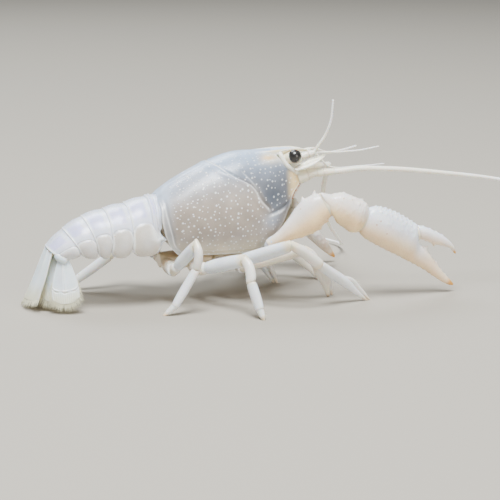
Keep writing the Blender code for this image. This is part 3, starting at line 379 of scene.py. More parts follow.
branch = ridge(from_branch / 1.3, 0.45) * ramp(side, 40, 46) * ramp(side, 68, 62)
hem_place = 1.3 + 1.1 * ramp(side, 60, 120)
hem = ridge(from_rear - hem_place, 0.32) * ramp(side, 20, 60)
low_hem = ridge(from_low - 1.5, 0.45) * ramp(x, -24, -19) * ramp(x, 2, -3)
areola = ridge((side - 7.5) * ARC, 0.4) * ramp(from_groove, -1, -3) * ramp(from_rear, 0.5, 3)
brow = ridge((side - 33 - (5.6 - x) * 0.5) * ARC, 0.7) * ramp(x, -1, 4.5) * ramp(from_front, 0.2, 1.2)
lift = (-0.5 * groove * (0.4 + 0.6 * flank) + 0.2 * ridge(from_groove + 1.3, 0.9) * groove_run - 0.22 * branch
        + 0.16 * ridge(level - 1.2, 0.8) * level_run - 0.25 * ramp(from_rear, 1.3, 0.0) * ramp(side, 55, 40)
        - 0.26 * hem - 0.2 * low_hem - 0.14 * areola + 0.24 * brow
        + 0.16 * ridge(from_rear, 0.5) * ramp(side, 40, 60) + 0.14 * ridge(from_front, 0.45)
        + 0.12 * ridge(from_low, 0.6) - 0.30 * ridge(side - 72, 14) * ridge(x - 5.5, 3.0)
        + 0.2 * ridge(side - 95, 14) * ridge(x - 7, 2.4))
shelf = carapace_point(x, roll, lift)
# Painted highlights: the lit edge beside the groove, the level and branch lines, the rims of the rear, front
# and lower margins, the rear hem's edge and the brow crest are lightened in the colour.
bright = np.clip(0.9 * ridge(from_groove + 0.55 * flank, 0.24) * groove_run
                 + 0.7 * ridge(level - 0.6, 0.22) * level_run + 0.7 * branch * ridge(from_branch + 0.4, 0.25)
                 + ridge(from_rear - 0.2, 0.3) * low_flank
                 + 0.9 * ridge(from_rear - hem_place + 0.35, 0.18) * low_flank + 0.6 * ridge(from_front, 0.35)
                 + 0.4 * brow + 0.9 * ridge(from_low - 0.15, 0.35)
                 + 0.5 * ridge(from_low - 2.0, 0.2) * ramp(x, 2, -3), 0, 1)
tint = np.broadcast_to(SHELL_TAUPE, shelf.shape)
for colour, share in (
        (SHELL_BLUE, ramp(side, 80, 26) * (0.65 + 0.35 * ramp(from_groove, -6, 0))),
        # Painted highlight: paler along the top of the back.
        (SHELL_PALE, 0.5 * ramp(side, 24, 2)),
        (SHELL_STEEL, 0.8 * ramp(from_groove, -0.4, 1.4) * ramp(side, 6, 70) * ramp(side, 100, 88)),
        # Painted shade: a darker patch in the hollow ahead of the groove's branch.
        (SHELL_STEEL * 0.7, ridge(side - 76, 12) * ridge(x - 4.0, 2.8) * 0.85),
        (SHELL_BLUE, ridge(side - 100, 9) * ridge(x - 4.0, 3.0) * 0.7),
        (CHEEK_CREAM, ramp(x, 7.6, 10.3) * ramp(side, 46, 54) * ramp(side, 88, 80)),
        (HEAD_CREAM, ramp(x, 0, 5) * ramp(side, 46, 24) * ramp(side, 8, 16) * 0.6),
        (BUFF, ridge(side - 27, 6) * ridge(x - 3.8, 2.0) * 0.8),
        (HEAD_CREAM, ramp(side, 112, 132) * 0.45),
        (SHELL_PALE, 0.35 * ramp(from_rear, 4.0, 1.0)),
        # painted highlights, from bright above
        (RIM_WHITE, bright * 0.8),
        # Painted shade: darker down in the cervical groove and the rear hem.
        (SHELL_STEEL * 0.7, 0.25 * groove * ramp(side, 30, 65) + 0.15 * hem)):
    tint = mix(tint, colour, share)
dotted = ramp(side, 4, 14) * ramp(from_rear, 2.2, 3.4) * ramp(from_front, 0.4, 1.4) * (1 - groove)
dotted = dotted * (1 - 0.45 * ramp(from_groove, 0, 2)) * (1 - 0.4 * ramp(side, 100, 125))

belly = np.linspace(0, 1, 22)[1:-1]
under = shelf[:, -1:] + (shelf[:, :1] - shelf[:, -1:]) * belly[None, :, None]
rings = np.concatenate([shelf, under], 1)
tint = np.concatenate([tint, np.broadcast_to(FLESH, under.shape)], 1)
# Caps: pale where they show in the hole behind the first abdomen ring, painted light against its shade;
# darkened flesh (FLESH * 0.55) lower down, painted shade under the shell.
inside = np.pad(ramp(np.abs(roll_line), 50, 100), (0, len(belly)), constant_values=1)
rings, tint = closed_ends(rings, tint, mix(SHELL_PALE, FLESH * 0.55, inside), (0.0, 0.3))
dotted = np.pad(dotted, ((9, 9), (0, len(belly))))
cell = np.zeros(rings.shape)
cell[9:-9, :len(roll_line), 0] = x / DOT_SPACING
cell[9:-9, :len(roll_line), 1] = roll * ARC / DOT_SPACING
carapace = add_rings("carapace_shell", rings, shell, "carapace", tint, merge=False)
for label, kind, key, values in (("spotted", "FLOAT", "value", dotted),
                                 ("cell", "FLOAT_VECTOR", "vector", cell)):
    mark = carapace.data.attributes.new(label, kind, "POINT")
    mark.data.foreach_set(key, values.ravel().astype(np.float32))
join_up(carapace.data, slivers=False)

# Rostrum: a shallow trough with raised margins that ends in a point, one with the carapace.
# Its margins are creamy and it is smooth, without tubercles.
ROSTRUM_HALF_WIDTH = [(-4, 3.4), (3, 3.5), (8, 2.7), (11.5, 2.1), (13, 1.1), (15.2, 0.2)]
ROSTRUM_TOP = [(-4, 36.4), (-1, 37.1), (3, 37.4), (8, 37.65), (12, 37.65), (15.2, 37.2)]
ROSTRUM_THICKNESS = [(-4, 2.5), (5, 1.7), (10, 1.2), (15.2, 0.5)]
ROSTRUM_EDGE = linear(242, 224, 170)


def around(columns):
    """Angles at even steps round a full turn: 2 pi i / columns."""
    return np.linspace(0, 2 * np.pi, columns, endpoint=False)


x = np.linspace(-4, 15.15, 90)[:, None]
turn = around(64)[None]
wide, top, thick = (smooth(line, x) for line in (ROSTRUM_HALF_WIDTH, ROSTRUM_TOP, ROSTRUM_THICKNESS))
across, above = np.cos(turn), np.sin(turn)
beside = np.abs(across)
crest = 0.62 + 0.26 * ramp(x, 2, 7)
keel = np.where(above > 0, 0.2 * ridge(beside - crest, 0.13) - 0.3 * ramp(beside, crest, 0), 0)
keel = keel * ramp(x, -2, 3) * ramp(x, 15.5, 12) - 1.9 * ramp(x, 8.5, 4) * ramp(beside, crest, 1)
under = np.where(above < 0, thick * (1 - beside ** 2.6) ** 0.6, 0)
blade = np.stack([np.broadcast_to(x, keel.shape), wide * across, top + keel - under - 0.05], -1)
edge = ridge(beside - crest, 0.12) * np.where(above > -0.2, 1, 0.5)
tint = mix(SHELL_PALE, ROSTRUM_EDGE, edge * ramp(x, 0, 7))
tint = mix(tint, HEAD_CREAM, ramp(x, 7, 14) * 0.6)
tint = mix(tint, HEAD_CREAM, np.where(above < -0.1, 0.8, 0) * np.ones_like(x))
blade, tint = closed_ends(blade, tint, HEAD_CREAM, (0, 0.1), 3)
add_rings("rostrum", blade, shell_finish("rostrum_shell", 0.34, tone=0.05), "carapace", tint)

# Abdomen: six hinged rings of shell. Each back plate slides under the one before it and
# ends on each side in a rounded lobe with a pale rim. Soft skin joins them underneath.
LOBE_START, LOBE_BULGE, PILLOW_START = 0.667, 1.2, 0.47
LOBE_DROP = [0.6, 2.4, 2.0, 1.8, 1.5, 0.4]
BELLY_RISE = 1.9
# Each boundary is x, z, lean in degrees, half width, depth, sweep of the lobe and bulge.
BOUNDARIES = np.array([
    (-25.5, 26.6, 0, 6.6, 10.4, 0.0, 0.0),
    (-27.7, 26.9, 3, 8.3, 11.2, 2.4, 0.3),
    (-33.2, 25.4, 2, 8.6, 10.3, 0.3, 0.8),
    (-38.5, 24.2, 3, 8.3, 9.3, 0.2, 0.8),
    (-44.0, 22.5, 20, 7.7, 8.5, 0.1, 0.6),
    (-48.8, 19.5, 35, 7.0, 6.6, 0.0, 0.4),
    (-53.1, 15.3, 58, 5.8, 4.8, 0.0, 0.0),
])
PLATE_LILAC = linear(204, 206, 240)
PLATE_WHITE = linear(226, 232, 242)
LOBE_BEIGE = linear(212, 207, 199)
CREASE_SHADE = linear(162, 158, 154)
SIDES = ((1, "l"), (-1, "r"))


def abdomen_ring(place, share, drop, inset):
    """Half ring at shares -1 to 1: y = w sin(turn) ** 0.9, then straight down the lobes."""
    x, z, lean, wide, depth, sweep, bulge = place
    turn = np.clip(np.abs(share) / LOBE_START, 0, 1) * np.pi / 2
    below = np.clip((np.abs(share) - LOBE_START) / (1 - LOBE_START), 0, 1)
    curve = depth - BELLY_RISE
    y = np.sign(share) * (wide * np.sin(turn) ** 0.9 - 0.5 * below**2 - inset)
    down = curve * (1 - np.cos(turn)) + (depth - curve + drop) * below + inset * np.cos(turn)
    ahead = bulge * np.sin(turn) * (1 - below) + sweep * below
    lean = np.radians(lean)
    ahead, down = ahead * np.cos(lean) + down * np.sin(lean), down * np.cos(lean) - ahead * np.sin(lean)
    return np.stack([x + ahead, y, z - down], -1)


plate = shell_finish("abdomen_plate", 0.3, fleck=0.15, tone=0.05, depth=0.0014, soft=0.4, coat=0.35)
share = np.linspace(-1, 1, 161)
beyond = np.abs(share)
below = np.clip((beyond - LOBE_START) / (1 - LOBE_START), 0, 1)
inner_share = np.concatenate([np.linspace(1.0, 0.72, 9)[1:], np.linspace(-0.72, -1.0, 9)[:-1]])
sling = np.linspace(0, 1, 12)[1:-1, None]
for k in range(6):
    first, last = BOUNDARIES[k], BOUNDARIES[k + 1]
    tuck = (0.9 if k else 1.3) / np.linalg.norm((last - first)[:2])
    pillow = PILLOW_START + 0.022 * max(k - 1, 0)
    lobe, inner_lobe = ((np.abs(s) - pillow) / (1 - pillow) for s in (share, inner_share))
    rows, shades = [], []
    for t in stations((-tuck, 0.08, 6), (0.08, 0.9, 24), (0.9, 1, 9)):
        place = first + (last - first) * t
        if k == 0:
            place += (0, 0.55 - 0.45 * t, 0, 1.1 - 1.1 * t, -0.9 - 0.2 * t, 0.3 - 0.2 * t, 0)
        step = 0.12 * (1 - ramp(t, 0.02, 0.5)) if k else 0.05
        inside = np.clip(t, 0, 1)
        arch = np.abs(2 * inside - 1)
        swell = 0.2 * np.sin(np.pi * inside) + 0.1 * ridge(t - 0.96, 0.035) * (k > 0)
        drop = LOBE_DROP[k] * (1 - arch ** 2.4) ** 0.55 - 0.9 * (1 - ramp(t, -tuck, 0.1))
        round_in = 1 - arch ** 3.5 - np.abs(2 * lobe - 1) ** 3.5
        pad = (0.55 if k else 0.0) * np.clip(round_in, 0, 1) ** 0.5
        bulb = ridge(t - 0.12, 0.15) * ridge(lobe - 0.38, 0.28) * (k == 1)
        bulge = LOBE_BULGE * ramp(t, 0.5, 0.0) * (k == 1)
        sink = 0.16 * ramp(t, 0.16, 0.0) * ramp(lobe, 0.0, 0.3)
        folds = 0.1 * np.cos(5 * np.pi * t) * ramp(beyond, 0.9, 0.6) if k == 0 else 0
        inset = (step - swell - pad - folds - 0.5 * bulb + sink + 0.35 * ramp(below, 0.93, 1.0)
                 + 0.2 * ramp(t, 0.985, 1.0))
        outer = abdomen_ring(place, share, drop, inset)
        outer[:, 0] += bulge * ridge(lobe - 0.42, 0.3)
        inner = abdomen_ring(place, inner_share, drop, 0.5 + 0.6 * ramp(np.abs(inner_share), 1.0, 0.85))
        inner[:, 0] += bulge * ridge(inner_lobe - 0.42, 0.3)
        belly = inner[7] + (inner[8] - inner[7]) * sling
        belly[:, 2] -= 0.9 * np.sin(np.pi * sling[:, 0]) * np.sin(np.pi * inside)
        rows.append(np.concatenate([outer, inner[:8], belly, inner[8:]]))
        patch = ramp(t, 0.14, 0.3) * ramp(t, 0.92, 0.8) * ramp(beyond, 0.06, 0.16) * ramp(beyond, 0.46, 0.38)
        tone = mix(np.broadcast_to(PLATE_WHITE, outer.shape), PLATE_LILAC, 0.15 + 0.85 * patch)
        flat = ramp(round_in, -0.1, 0.25) * (1.05 - 0.12 * k) * (k > 0) + ramp(beyond, 0.42, 0.54) * 0.2
        tone = mix(tone, LOBE_BEIGE, flat)
        tone = mix(tone, PLATE_WHITE, 0.3 * ridge(lobe - 0.45, 0.22) * ridge(t - 0.42, 0.22))
        # Painted shade: grey in the crease round each lobe.
        tone = mix(tone, CREASE_SHADE, 0.8 * ridge(round_in + 0.22, 0.13) * ramp(beyond, 0.44, 0.5) * (k > 0))
        # Whiter: the lobes' pale rims, plus painted highlights along the raised plate edges and on lobe 2's
        # bulb.
        bright = (ridge(round_in - 0.08, 0.14) * ramp(lobe, 0.02, 0.14) + 0.8 * ridge(t - 0.955, 0.03)
                  + 0.8 * bulb + 0.3 * ridge(t - 0.1, 0.04)
                  + 0.4 * ridge(beyond - 0.41, 0.025) * ramp(t, 0.1, 0.3))
        if k == 0:
            # Ring 1: painted highlights on the crests of its folds.
            bright = 0.7 * np.clip(np.cos(5 * np.pi * t), 0, 1) ** 2 * np.ones_like(beyond)
        tone = mix(tone, RIM_WHITE, np.clip(bright, 0, 1))
        shades.append(np.concatenate([tone, np.broadcast_to(FLESH, (len(rows[-1]) - len(tone), 3))]))
    rings, tint = closed_ends(np.array(rows), np.array(shades), PLATE_WHITE, steps=4)
    add_rings(f"abdomen_ring_{k + 1}", rings, plate, f"abdomen_{k + 1}", tint)

# Swimmerets: four pairs of small two-bladed paddles of thin shell, hinged to the soft belly
# and folded forward between the side lobes.
PADDLES = ((0, 3.9), (1, 3.3))
PADDLE_WIDTH = 0.75
belly_blade = shell_finish("swimmeret", 0.4, tone=0.05, depth=0.0012, soft=0.45)


def unit(vector):
    """Each vector divided by its length."""
    vector = np.asarray(vector, float)
    return vector / np.linalg.norm(vector, axis=-1, keepdims=True)


def paddle(root, run, across, length, width):
    """A leaf-like body: width w sin(pi t) ** 0.6 across the run, a third as thick."""
    t = np.linspace(0.0, 1.0, 24)[:, None, None]
    turn = around(20)[None, :, None]
    spread = 0.15 + 0.85 * np.sin(np.pi * np.clip(t, 0.02, 0.98)) ** 0.6
    over = np.cross(across, run) * 0.3
    return root + run * length * t + (across * np.cos(turn) + over * np.sin(turn)) * width * spread


for k in range(1, 5):
    x, z, lean, wide, depth = ((BOUNDARIES[k] + BOUNDARIES[k + 1]) / 2)[:5]
    lean = np.radians(lean)
    down = np.array((np.sin(lean), 0, -np.cos(lean)))
    ahead = np.array((np.cos(lean), 0, np.sin(lean)))
    for side, tag in SIDES:
        for blade, reach in PADDLES:
            root = (x, 0, z) + down * (depth - BELLY_RISE - 0.3) + (0, side * wide * (0.5 - 0.16 * blade), 0)
            run = unit(ahead * 0.8 + down * 0.5 + (0, side * (0.15 - 0.3 * blade), 0))
            rings = paddle(root, run, unit(np.cross(run, down)), reach, PADDLE_WIDTH)
            rings, tint = closed_ends(rings, np.broadcast_to(FLESH, rings.shape), PLATE_WHITE, steps=3)
            add_rings(f"swimmeret_{k + 1}_{tag}_{blade}", rings, belly_blade,
                      f"abdomen_{k + 1}", tint)

# Tail fan: a stiff middle plate and two thin leaves on each side, ribbed along the middle
# and fringed with bristles. The outer leaf has a cross joint. They hang from the last ring.
LEAF_SHAPE = [(0, 0.42), (0.15, 0.62), (0.45, 0.95), (0.7, 1.0), (0.88, 0.84), (1, 0.45)]
TELSON_SHAPE = [(0, 0.72), (0.3, 0.93), (0.6, 0.96), (0.85, 0.9), (1, 0.5)]
# Each leaf is its name, its root down and out on the ring, tip, half width, outward side, cup,
# outline, side, thickness and count of bristles.
LEAVES = [("telson", (0.9, 0.0), (-59.9, 0.0, 0.0), 6.0, (-1, 0, 0.5), 3.2, TELSON_SHAPE, 1, 1.2, 560)]
for side, tag in SIDES:
    LEAVES += [(f"tail_inner_{tag}", (3.3, 2.8), (-53.9, 6.4, 0.0), 3.3, (-0.61, side * 0.79, 0.25), 0.3,
                LEAF_SHAPE, side, 1.0, 460),
               (f"tail_outer_{tag}", (4.4, 5.2), (-49.6, 10.4, 0.0), 3.5, (-0.27, side * 0.96, 0.3), 0.3,
                LEAF_SHAPE, side, 1.0, 460)]
LEAF_THICKNESS = 0.42
FRINGE_LENGTH, FRINGE_RADIUS = 2.7, 0.032
FRINGE_CREAM = linear(240, 236, 204)
FAN_WHITE = linear(222, 238, 248)
FAN_CREAM = linear(228, 222, 190)
FAN_SHADE = linear(206, 208, 222)
leaf_shell = shell_finish("fan_leaf", 0.34, fleck=0.1, tone=0.06, depth=0.0012, soft=0.45)
bristle = shell_finish("fringe_bristle", 0.55, tone=0.04, depth=0.0008, soft=0.3, coat=0.0)


def bristles(name, roots, grow, beside, reach, radius, bend, node, bake, colour=FRINGE_CREAM):
    """Hairs as one solid mesh: root + x side + y ahead + z grow reach, side across grow.

    A hair is three-sided, of radius r (1 - z ** 1.5) for z from 0 to 1, and bends by
    bend z ** 2. bake is the place of each hair on the coat map.
    """
    z = np.linspace(0, 1, 4)[:-1, None]
    turn = np.arange(3) * 2 * np.pi / 3
    width = radius * (1 - z**1.5)
    hair = np.stack([width * np.cos(turn), width * np.sin(turn) + bend * z**2, z + 0 * turn], -1)
    hair = np.concatenate([hair.reshape(-1, 3), [(0, bend, 1)]])
    tip, base = len(hair) - 1, len(hair) - 4
    faces = np.concatenate([grid_faces(3, 3), [(base + i, base + (i + 1) % 3, tip, tip) for i in range(3)]])
    sideways = unit(np.cross(grow, beside))
    x, y, z = (hair[None, :, i:i + 1] for i in range(3))
    points = (roots[:, None] + x * sideways[:, None] + y * np.cross(grow, sideways)[:, None]
              + z * (grow * np.reshape(reach, (-1, 1)))[:, None])
    count, size = len(roots), len(hair)
    faces = (faces[None] + (np.arange(count) * size)[:, None, None]).reshape(-1, 4)
    made = add_piece(name, points.reshape(-1, 3), faces, bristle, node, colour, merge=False)
    bake = np.stack(np.broadcast_arrays(*bake), -1)
    spread = np.repeat(bake, size, 0) + np.tile(hair[:, [0, 2]] * (0.03, 0.003), (count, 1))
    wrap = made.data.uv_layers.new(name="OFBake")
    corner = np.zeros(len(made.data.loops), np.int32)
    made.data.loops.foreach_get("vertex_index", corner)
    wrap.data.foreach_set("uv", spread[corner].ravel().astype(np.float32))


def leaf_point(leaf, t, c):
    """Leaf surface: root + along t + across w(t) c - out cup c ** 2."""
    root, along, across, out, length, half_width, outline, cup = leaf
    wide = half_width * smooth(outline, t)
    bend = -cup * c**2 * wide / half_width * (0.2 + 0.8 * t)
    return root + along * (length * t)[..., None] + across * (wide * c)[..., None] + out * bend[..., None]


end = BOUNDARIES[-1]
tilt = np.radians(end[2])
face = np.array([-np.cos(tilt), 0, -np.sin(tilt)])
draw = np.random.default_rng(7)
for name, (down, y), tip, half_width, out, cup, outline, side, thickness, count in LEAVES:
    root = np.array([end[0] + down * np.sin(tilt), side * y, end[1] - down * np.cos(tilt)]) + face * 0.1
    tip = np.array((tip[0], side * tip[1], tip[2]))
    along = unit(tip - root)
    across = unit(np.cross(along, out))
    out = np.cross(across, along)
    length = np.linalg.norm(tip - root)
    hard = 1 - FRINGE_LENGTH / length
    leaf = (root, along, across, out, length, half_width, outline, cup)
    t, c = np.broadcast_arrays(np.linspace(0, 1, 70)[:, None], np.linspace(-1, 1, 61)[None])
    sheet = leaf_point(leaf, t * hard * (1 - 0.14 * np.abs(c) ** 2.5), c * 0.97)
    outer_leaf = "outer" in name
    if outer_leaf:
        ribs = ridge(c, 0.07) + 0.7 * ridge(np.abs(c + side * 0.16) - 0.02, 0.05)
    else:
        ribs = ridge(np.abs(c) - (0.55 if name == "telson" else 0.0), 0.09)
    seam = ridge((t - 0.735 - 0.02 * np.cos(c * 9)) * 10, 0.16) * outer_leaf
    relief = (0.28 * ribs * (1 - t) - 0.18 * seam + 0.16 * ridge((t - 0.71) * 10, 0.16) * outer_leaf
              + 0.08 * ridge(np.abs(c) - 0.97, 0.06) + 0.05 * np.cos(c * 40) * ramp(t, 0.6, 1.0))
    thin = (thickness * LEAF_THICKNESS * (1 - 0.75 * t)) * (1 - np.abs(c) ** 4 * 0.8)
    upper = sheet + out * (thin + relief)[..., None]
    lower = sheet - out * thin[..., None]
    rings = np.concatenate([upper, lower[:, ::-1]], 1)
    tone = mix(np.broadcast_to(FAN_WHITE, upper.shape), FAN_CREAM, ramp(t, 0.55, 1.0) * 0.8 + 0.15)
    tone = mix(tone, FAN_SHADE, 0.5 * ridge(c + side * 0.45, 0.3) * ridge(t - 0.4, 0.3) * outer_leaf)
    # Painted highlights: lighter along the rims, the raised ribs and the outer leaf's cross ridge.
    bright = 0.8 * ridge(np.abs(c) - 1, 0.1) + 0.7 * ribs * (1 - t) + ridge((t - 0.71) * 10, 0.2) * outer_leaf
    tone = mix(tone, RIM_WHITE, np.clip(bright, 0, 1) * 0.8)
    tone = np.concatenate([tone, np.broadcast_to(FAN_CREAM, lower.shape)], 1)
    rings, tone = closed_ends(rings, tone, FAN_CREAM, steps=2)
    rings[..., 2] = np.maximum(rings[..., 2], 0.03)
    add_rings(f"{name}_plate", rings, leaf_shell, name, tone)
    place = draw.uniform(-1.28, 1.28, count)
    c = np.clip(place, -1, 1)
    over = np.maximum(np.abs(place) - 1, 0)
    t = (1 - over * 1.6) * hard * (1 - 0.14 * np.abs(c) ** 2.5)
    c = c * 0.96
    roots = leaf_point(leaf, t - 0.015, c)
    splay = np.sign(c) * np.abs(c) ** 1.5 * 0.75 + draw.normal(0, 0.05, count)
    reach = FRINGE_LENGTH * draw.uniform(0.55, 1.06, count) * (1 - over * 2.0)
    grow = unit(along + across * splay[:, None] + out * draw.normal(0, 0.05, count)[:, None])
    height, fall = roots[:, 2], -grow[:, 2] * reach
    reach = reach * np.clip((height - 0.02) / np.maximum(fall, 1e-6), 0.3, 1)
    bristles(f"{name}_fringe", roots, grow, out, reach, FRINGE_RADIUS, 0.0, name,
             (0.5 + 0.45 * c, 0.1 + 0.8 * t))

# Tail joints: a short thick knuckle on each side, of the same thin shell, from which the two
# side leaves spring.
KNUCKLE, KNUCKLE_RADIUS = ((-51.4, 4.9, 14.3), (-48.5, 6.1, 12.6)), 1.15
for side, tag in SIDES:
    first, last = np.array(KNUCKLE) * (1, side, 1)
    t = np.linspace(0, 1, 26)[:, None, None]
    turn = around(32)[None, :, None]
    run = unit(last - first)
    across = unit(np.cross(run, (0, 1, 0)))
    size = KNUCKLE_RADIUS * np.sqrt(np.clip(1 - (1.96 * t - 0.98) ** 2, 0, 1)) ** 0.8
    rings = first + (last - first) * t + (across * np.cos(turn) + np.cross(run, across) * np.sin(turn)) * size
    # Painted highlight: a whiter stripe along the upper side of the knuckle.
    tone = mix(np.broadcast_to(FAN_WHITE, rings.shape), RIM_WHITE, ridge(np.cos(turn[..., 0]) - 0.6, 0.3))
    rings, tone = closed_ends(rings, tone, FAN_WHITE, steps=2)
    add_rings(f"tail_joint_{tag}", rings, leaf_shell, f"tail_outer_{tag}", tone)

# Eyes: a black, glossy dome of fine facets on a short movable stalk of soft shell, which
# stands out of the head's front face under the rostrum.
EYE_CENTRES = {"r": (10.5, 5.0, 36.3), "l": (10.4, 4.6, 35.6)}
EYE_RADIUS, STALK_ROOT, STALK_RADIUS = 1.73, (2.7, 34.8), 1.3
EYE_RING = linear(150, 160, 178)
EYE_DARK, EYE_SHEEN = (0.004, 0.004, 0.005, 1), (0.02, 0.018, 0.016, 1)
GAP = 0.3
JOINT_RIM = 0.22


def on_side(points, side):
    """Points given with y outward, placed on the left (side 1) or the right (side -1)."""
    return np.array(points, float) * (1, side, 1)


def on_front(y, z, side):
    """Point at y and z just ahead of the head's front face, and that face's normal."""
    roll = np.linspace(5, ROLL, 80)
    edge = smooth(FRONT_EDGE, roll)
    x = np.interp((z - 0.4, z + 0.4), carapace_point(edge, roll)[::-1, 2], edge[::-1])
    normal = unit((0.8, 0, x[0] - x[1]))
    return np.array([x.mean(), side * y, z]) + normal * GAP, normal


def cut_to(rings, along, plane):
    """Slides what lies past a plane (point, outward normal) back to it, and rounds the rim."""
    point, normal = np.asarray(plane[0]), unit(plane[1])
    past = (rings - point) @ normal
    middle = rings.mean(1, keepdims=True)
    pull = 0.09 * np.exp(np.minimum(past, 0) / JOINT_RIM)
    rings = rings + (middle - rings) * pull[..., None]
    past = (rings - point) @ normal
    return rings - along * (np.maximum(past, 0) / (along @ normal))[..., None]


def along_path(points):
    """How far along a path each of its points lies, in millimetres."""
    return np.concatenate([[0], np.cumsum(np.linalg.norm(np.diff(points, axis=0), axis=1))])


def curve(reach, points, at):
    """A smooth curve through points at the given reaches, found at other places."""
    return np.stack([smooth(np.stack([reach, column], 1), at) for column in np.array(points, float).T], 1)


def tube_rings(points, radii, up=(0, 0, 1), flatten=1.0, rows=40, columns=24, ends=(None, None), ripple=None):
    """Rings along a smooth path: centre + r(s) (across cos * flatten + over sin).

    An end with a plane runs on past it and is slid back to it. ripple is (spacing, share).
    """
    reach = along_path(points)
    at = np.linspace(0, reach[-1], rows)
    path, radius = curve(reach, points, at), smooth(np.stack([reach, radii], 1), at)
    if ripple:
        radius = radius * (1 - ripple[1] * np.cos(np.pi * at / ripple[0]) ** 8)
    along = unit(np.gradient(path, axis=0))
    extra = np.linspace(0.2, 1, 5)[:, None] * radius.max() * 1.6
    if ends[0] is not None:
        path = np.concatenate([path[0] - along[0] * extra[::-1], path])
    if ends[1] is not None:
        path = np.concatenate([path, path[-1] + along[-1] * extra])
    more = [5 * (end is not None) for end in ends]
    radius, along = np.pad(radius, more, "edge"), np.pad(along, (more, (0, 0)), "edge")
    across = unit(np.cross(along, up))
    over = np.cross(across, along)
    turn = around(columns)
    rings = (path[:, None] + across[:, None] * (radius[:, None] * flatten * np.cos(turn))[..., None]
             + over[:, None] * (radius[:, None] * np.sin(turn))[..., None])
    for which, end in ((0, ends[0]), (-1, ends[1])):
        if end is not None:
            rings = cut_to(rings, along[which], end)
    return rings


def capped(rings, dome=0.0, steps=5):
    """Both end rings closed: ring * s about its middle, pushed out by dome along the body."""
    share = np.linspace(1, 0, steps + 1)[1:]
    ends = []
    size = share[:, None, None]
    for ring, inward in ((rings[0], rings[min(6, len(rings) - 1)]), (rings[-1], rings[-min(7, len(rings))])):
        middle = ring.mean(0)
        bulge = unit(middle - inward.mean(0)) * dome * np.sqrt(1 - size**2)
        ends.append(middle + (ring - middle) * size + bulge)
    return np.concatenate([ends[0][::-1], rings, ends[1]])


def share_along(rings):
    """For each point, the share of its ring's place along the body, from 0 to 1."""
    reach = along_path(rings.mean(1))
    return np.broadcast_to((reach / reach[-1])[:, None], rings.shape[:2])


eye_black = bpy.data.materials.new("eye_black")
eye_black.use_nodes = True
tree = eye_black.node_tree
place = tree.nodes.new("ShaderNodeTexCoord").outputs["Object"]
facets = wire(tree, tree.nodes.new("ShaderNodeTexVoronoi"), Vector=place, Scale=9000.0)
bump = wire(tree, tree.nodes.new("ShaderNodeBump"), Height=facets.outputs["Distance"], Strength=0.25,
            Distance=0.00003)
sheen = wire(tree, tree.nodes.new("ShaderNodeTexNoise"), Vector=place, Scale=900.0, Detail=2.0)
dark = blended(tree, sheen.outputs[0], EYE_DARK, EYE_SHEEN)
wire(tree, tree.nodes["Principled BSDF"], Base_Color=dark, Normal=bump.outputs["Normal"], Roughness=0.3,
     Coat_Weight=0.5, Coat_Roughness=0.06)
flesh_shell = shell_finish("head_flesh", 0.34, fleck=0.15, tone=0.06, depth=0.0014, soft=0.4)
for side, tag in SIDES:
    centre = on_side(EYE_CENTRES[tag], side)
    root, face_normal = on_front(*STALK_ROOT, side)
    axis = unit(centre - root)
    across = unit(np.cross(axis, (0, 0, 1)))
    over = np.cross(across, axis)
    rise = np.linspace(np.arcsin(-0.55), np.pi / 2, 40)[:, None, None]
    turn = around(64)[None, :, None]
    outward = across * np.cos(turn) + over * np.sin(turn)
    ball = centre + EYE_RADIUS * (axis * np.sin(rise) + outward * np.cos(rise))
    add_rings(f"eye_{tag}", capped(ball), eye_black, f"eye_{tag}", EYE_RING)
    end = centre - axis * 0.66 * EYE_RADIUS
    path = [root - face_normal * 0.5, root + (end - root) * 0.45, root + (end - root) * 0.8, end,
            end + axis * 0.2]
    radii = [STALK_RADIUS * 1.1, STALK_RADIUS * 0.98, EYE_RADIUS * 0.8, EYE_RADIUS * 0.86, EYE_RADIUS * 0.8]
    rings = capped(tube_rings(path, radii, rows=30, columns=40))
    add_rings(f"eyestalk_{tag}", rings, flesh_shell, f"eyestalk_{tag}",
              mix(HEAD_CREAM, EYE_RING, ramp(share_along(rings), 0.9, 1.0) * 0.5))

# Orbits and cheeks: behind and under each eye the shell's edge is a thick pale rim, and the
# cheek's front edge below it bears a row of short brown bristles.
ORBIT_RIM = [(7.2, 2.0, 36.9), (7.2, 3.3, 36.6), (7.9, 4.25, 35.0), (8.8, 4.7, 33.8), (10.1, 4.75, 32.8),
             (12.1, 4.5, 31.4)]
ORBIT_RADII = [0.5, 0.62, 0.7, 0.66, 0.56, 0.4]
CHEEK_BRISTLES, CHEEK_BRISTLE_RADIUS, BRISTLE_BEND = 150, 0.055, 0.1
CHEEK_BRISTLE_AIM = ((0.7, 1.0), (-0.1, 0.4), (-0.7, -0.2))
BRISTLE_BROWN = linear(178, 112, 58)
for side, tag in SIDES:
    rings = capped(tube_rings(on_side(ORBIT_RIM, side), ORBIT_RADII, rows=60, columns=28), 0.3)
    add_rings(f"orbit_rim_{tag}", rings, flesh_shell, "carapace",
              mix(HEAD_CREAM, RIM_WHITE, 0.5))
    roll = side * draw.uniform(57, 86, CHEEK_BRISTLES)
    roots = carapace_point(smooth(FRONT_EDGE, np.abs(roll)) - 0.05, roll, 0.05)
    ahead, aside, rise = (draw.uniform(*bounds, CHEEK_BRISTLES) for bounds in CHEEK_BRISTLE_AIM)
    grow = unit(np.stack([ahead, side * aside, rise], 1))
    reach = draw.uniform(0.4, 1.0, CHEEK_BRISTLES)
    bristles(f"cheek_bristles_{tag}", roots, grow, (0, 0, 1), reach, CHEEK_BRISTLE_RADIUS, BRISTLE_BEND,
             "carapace", (0.5 + roll / 300, 0.5), BRISTLE_BROWN)

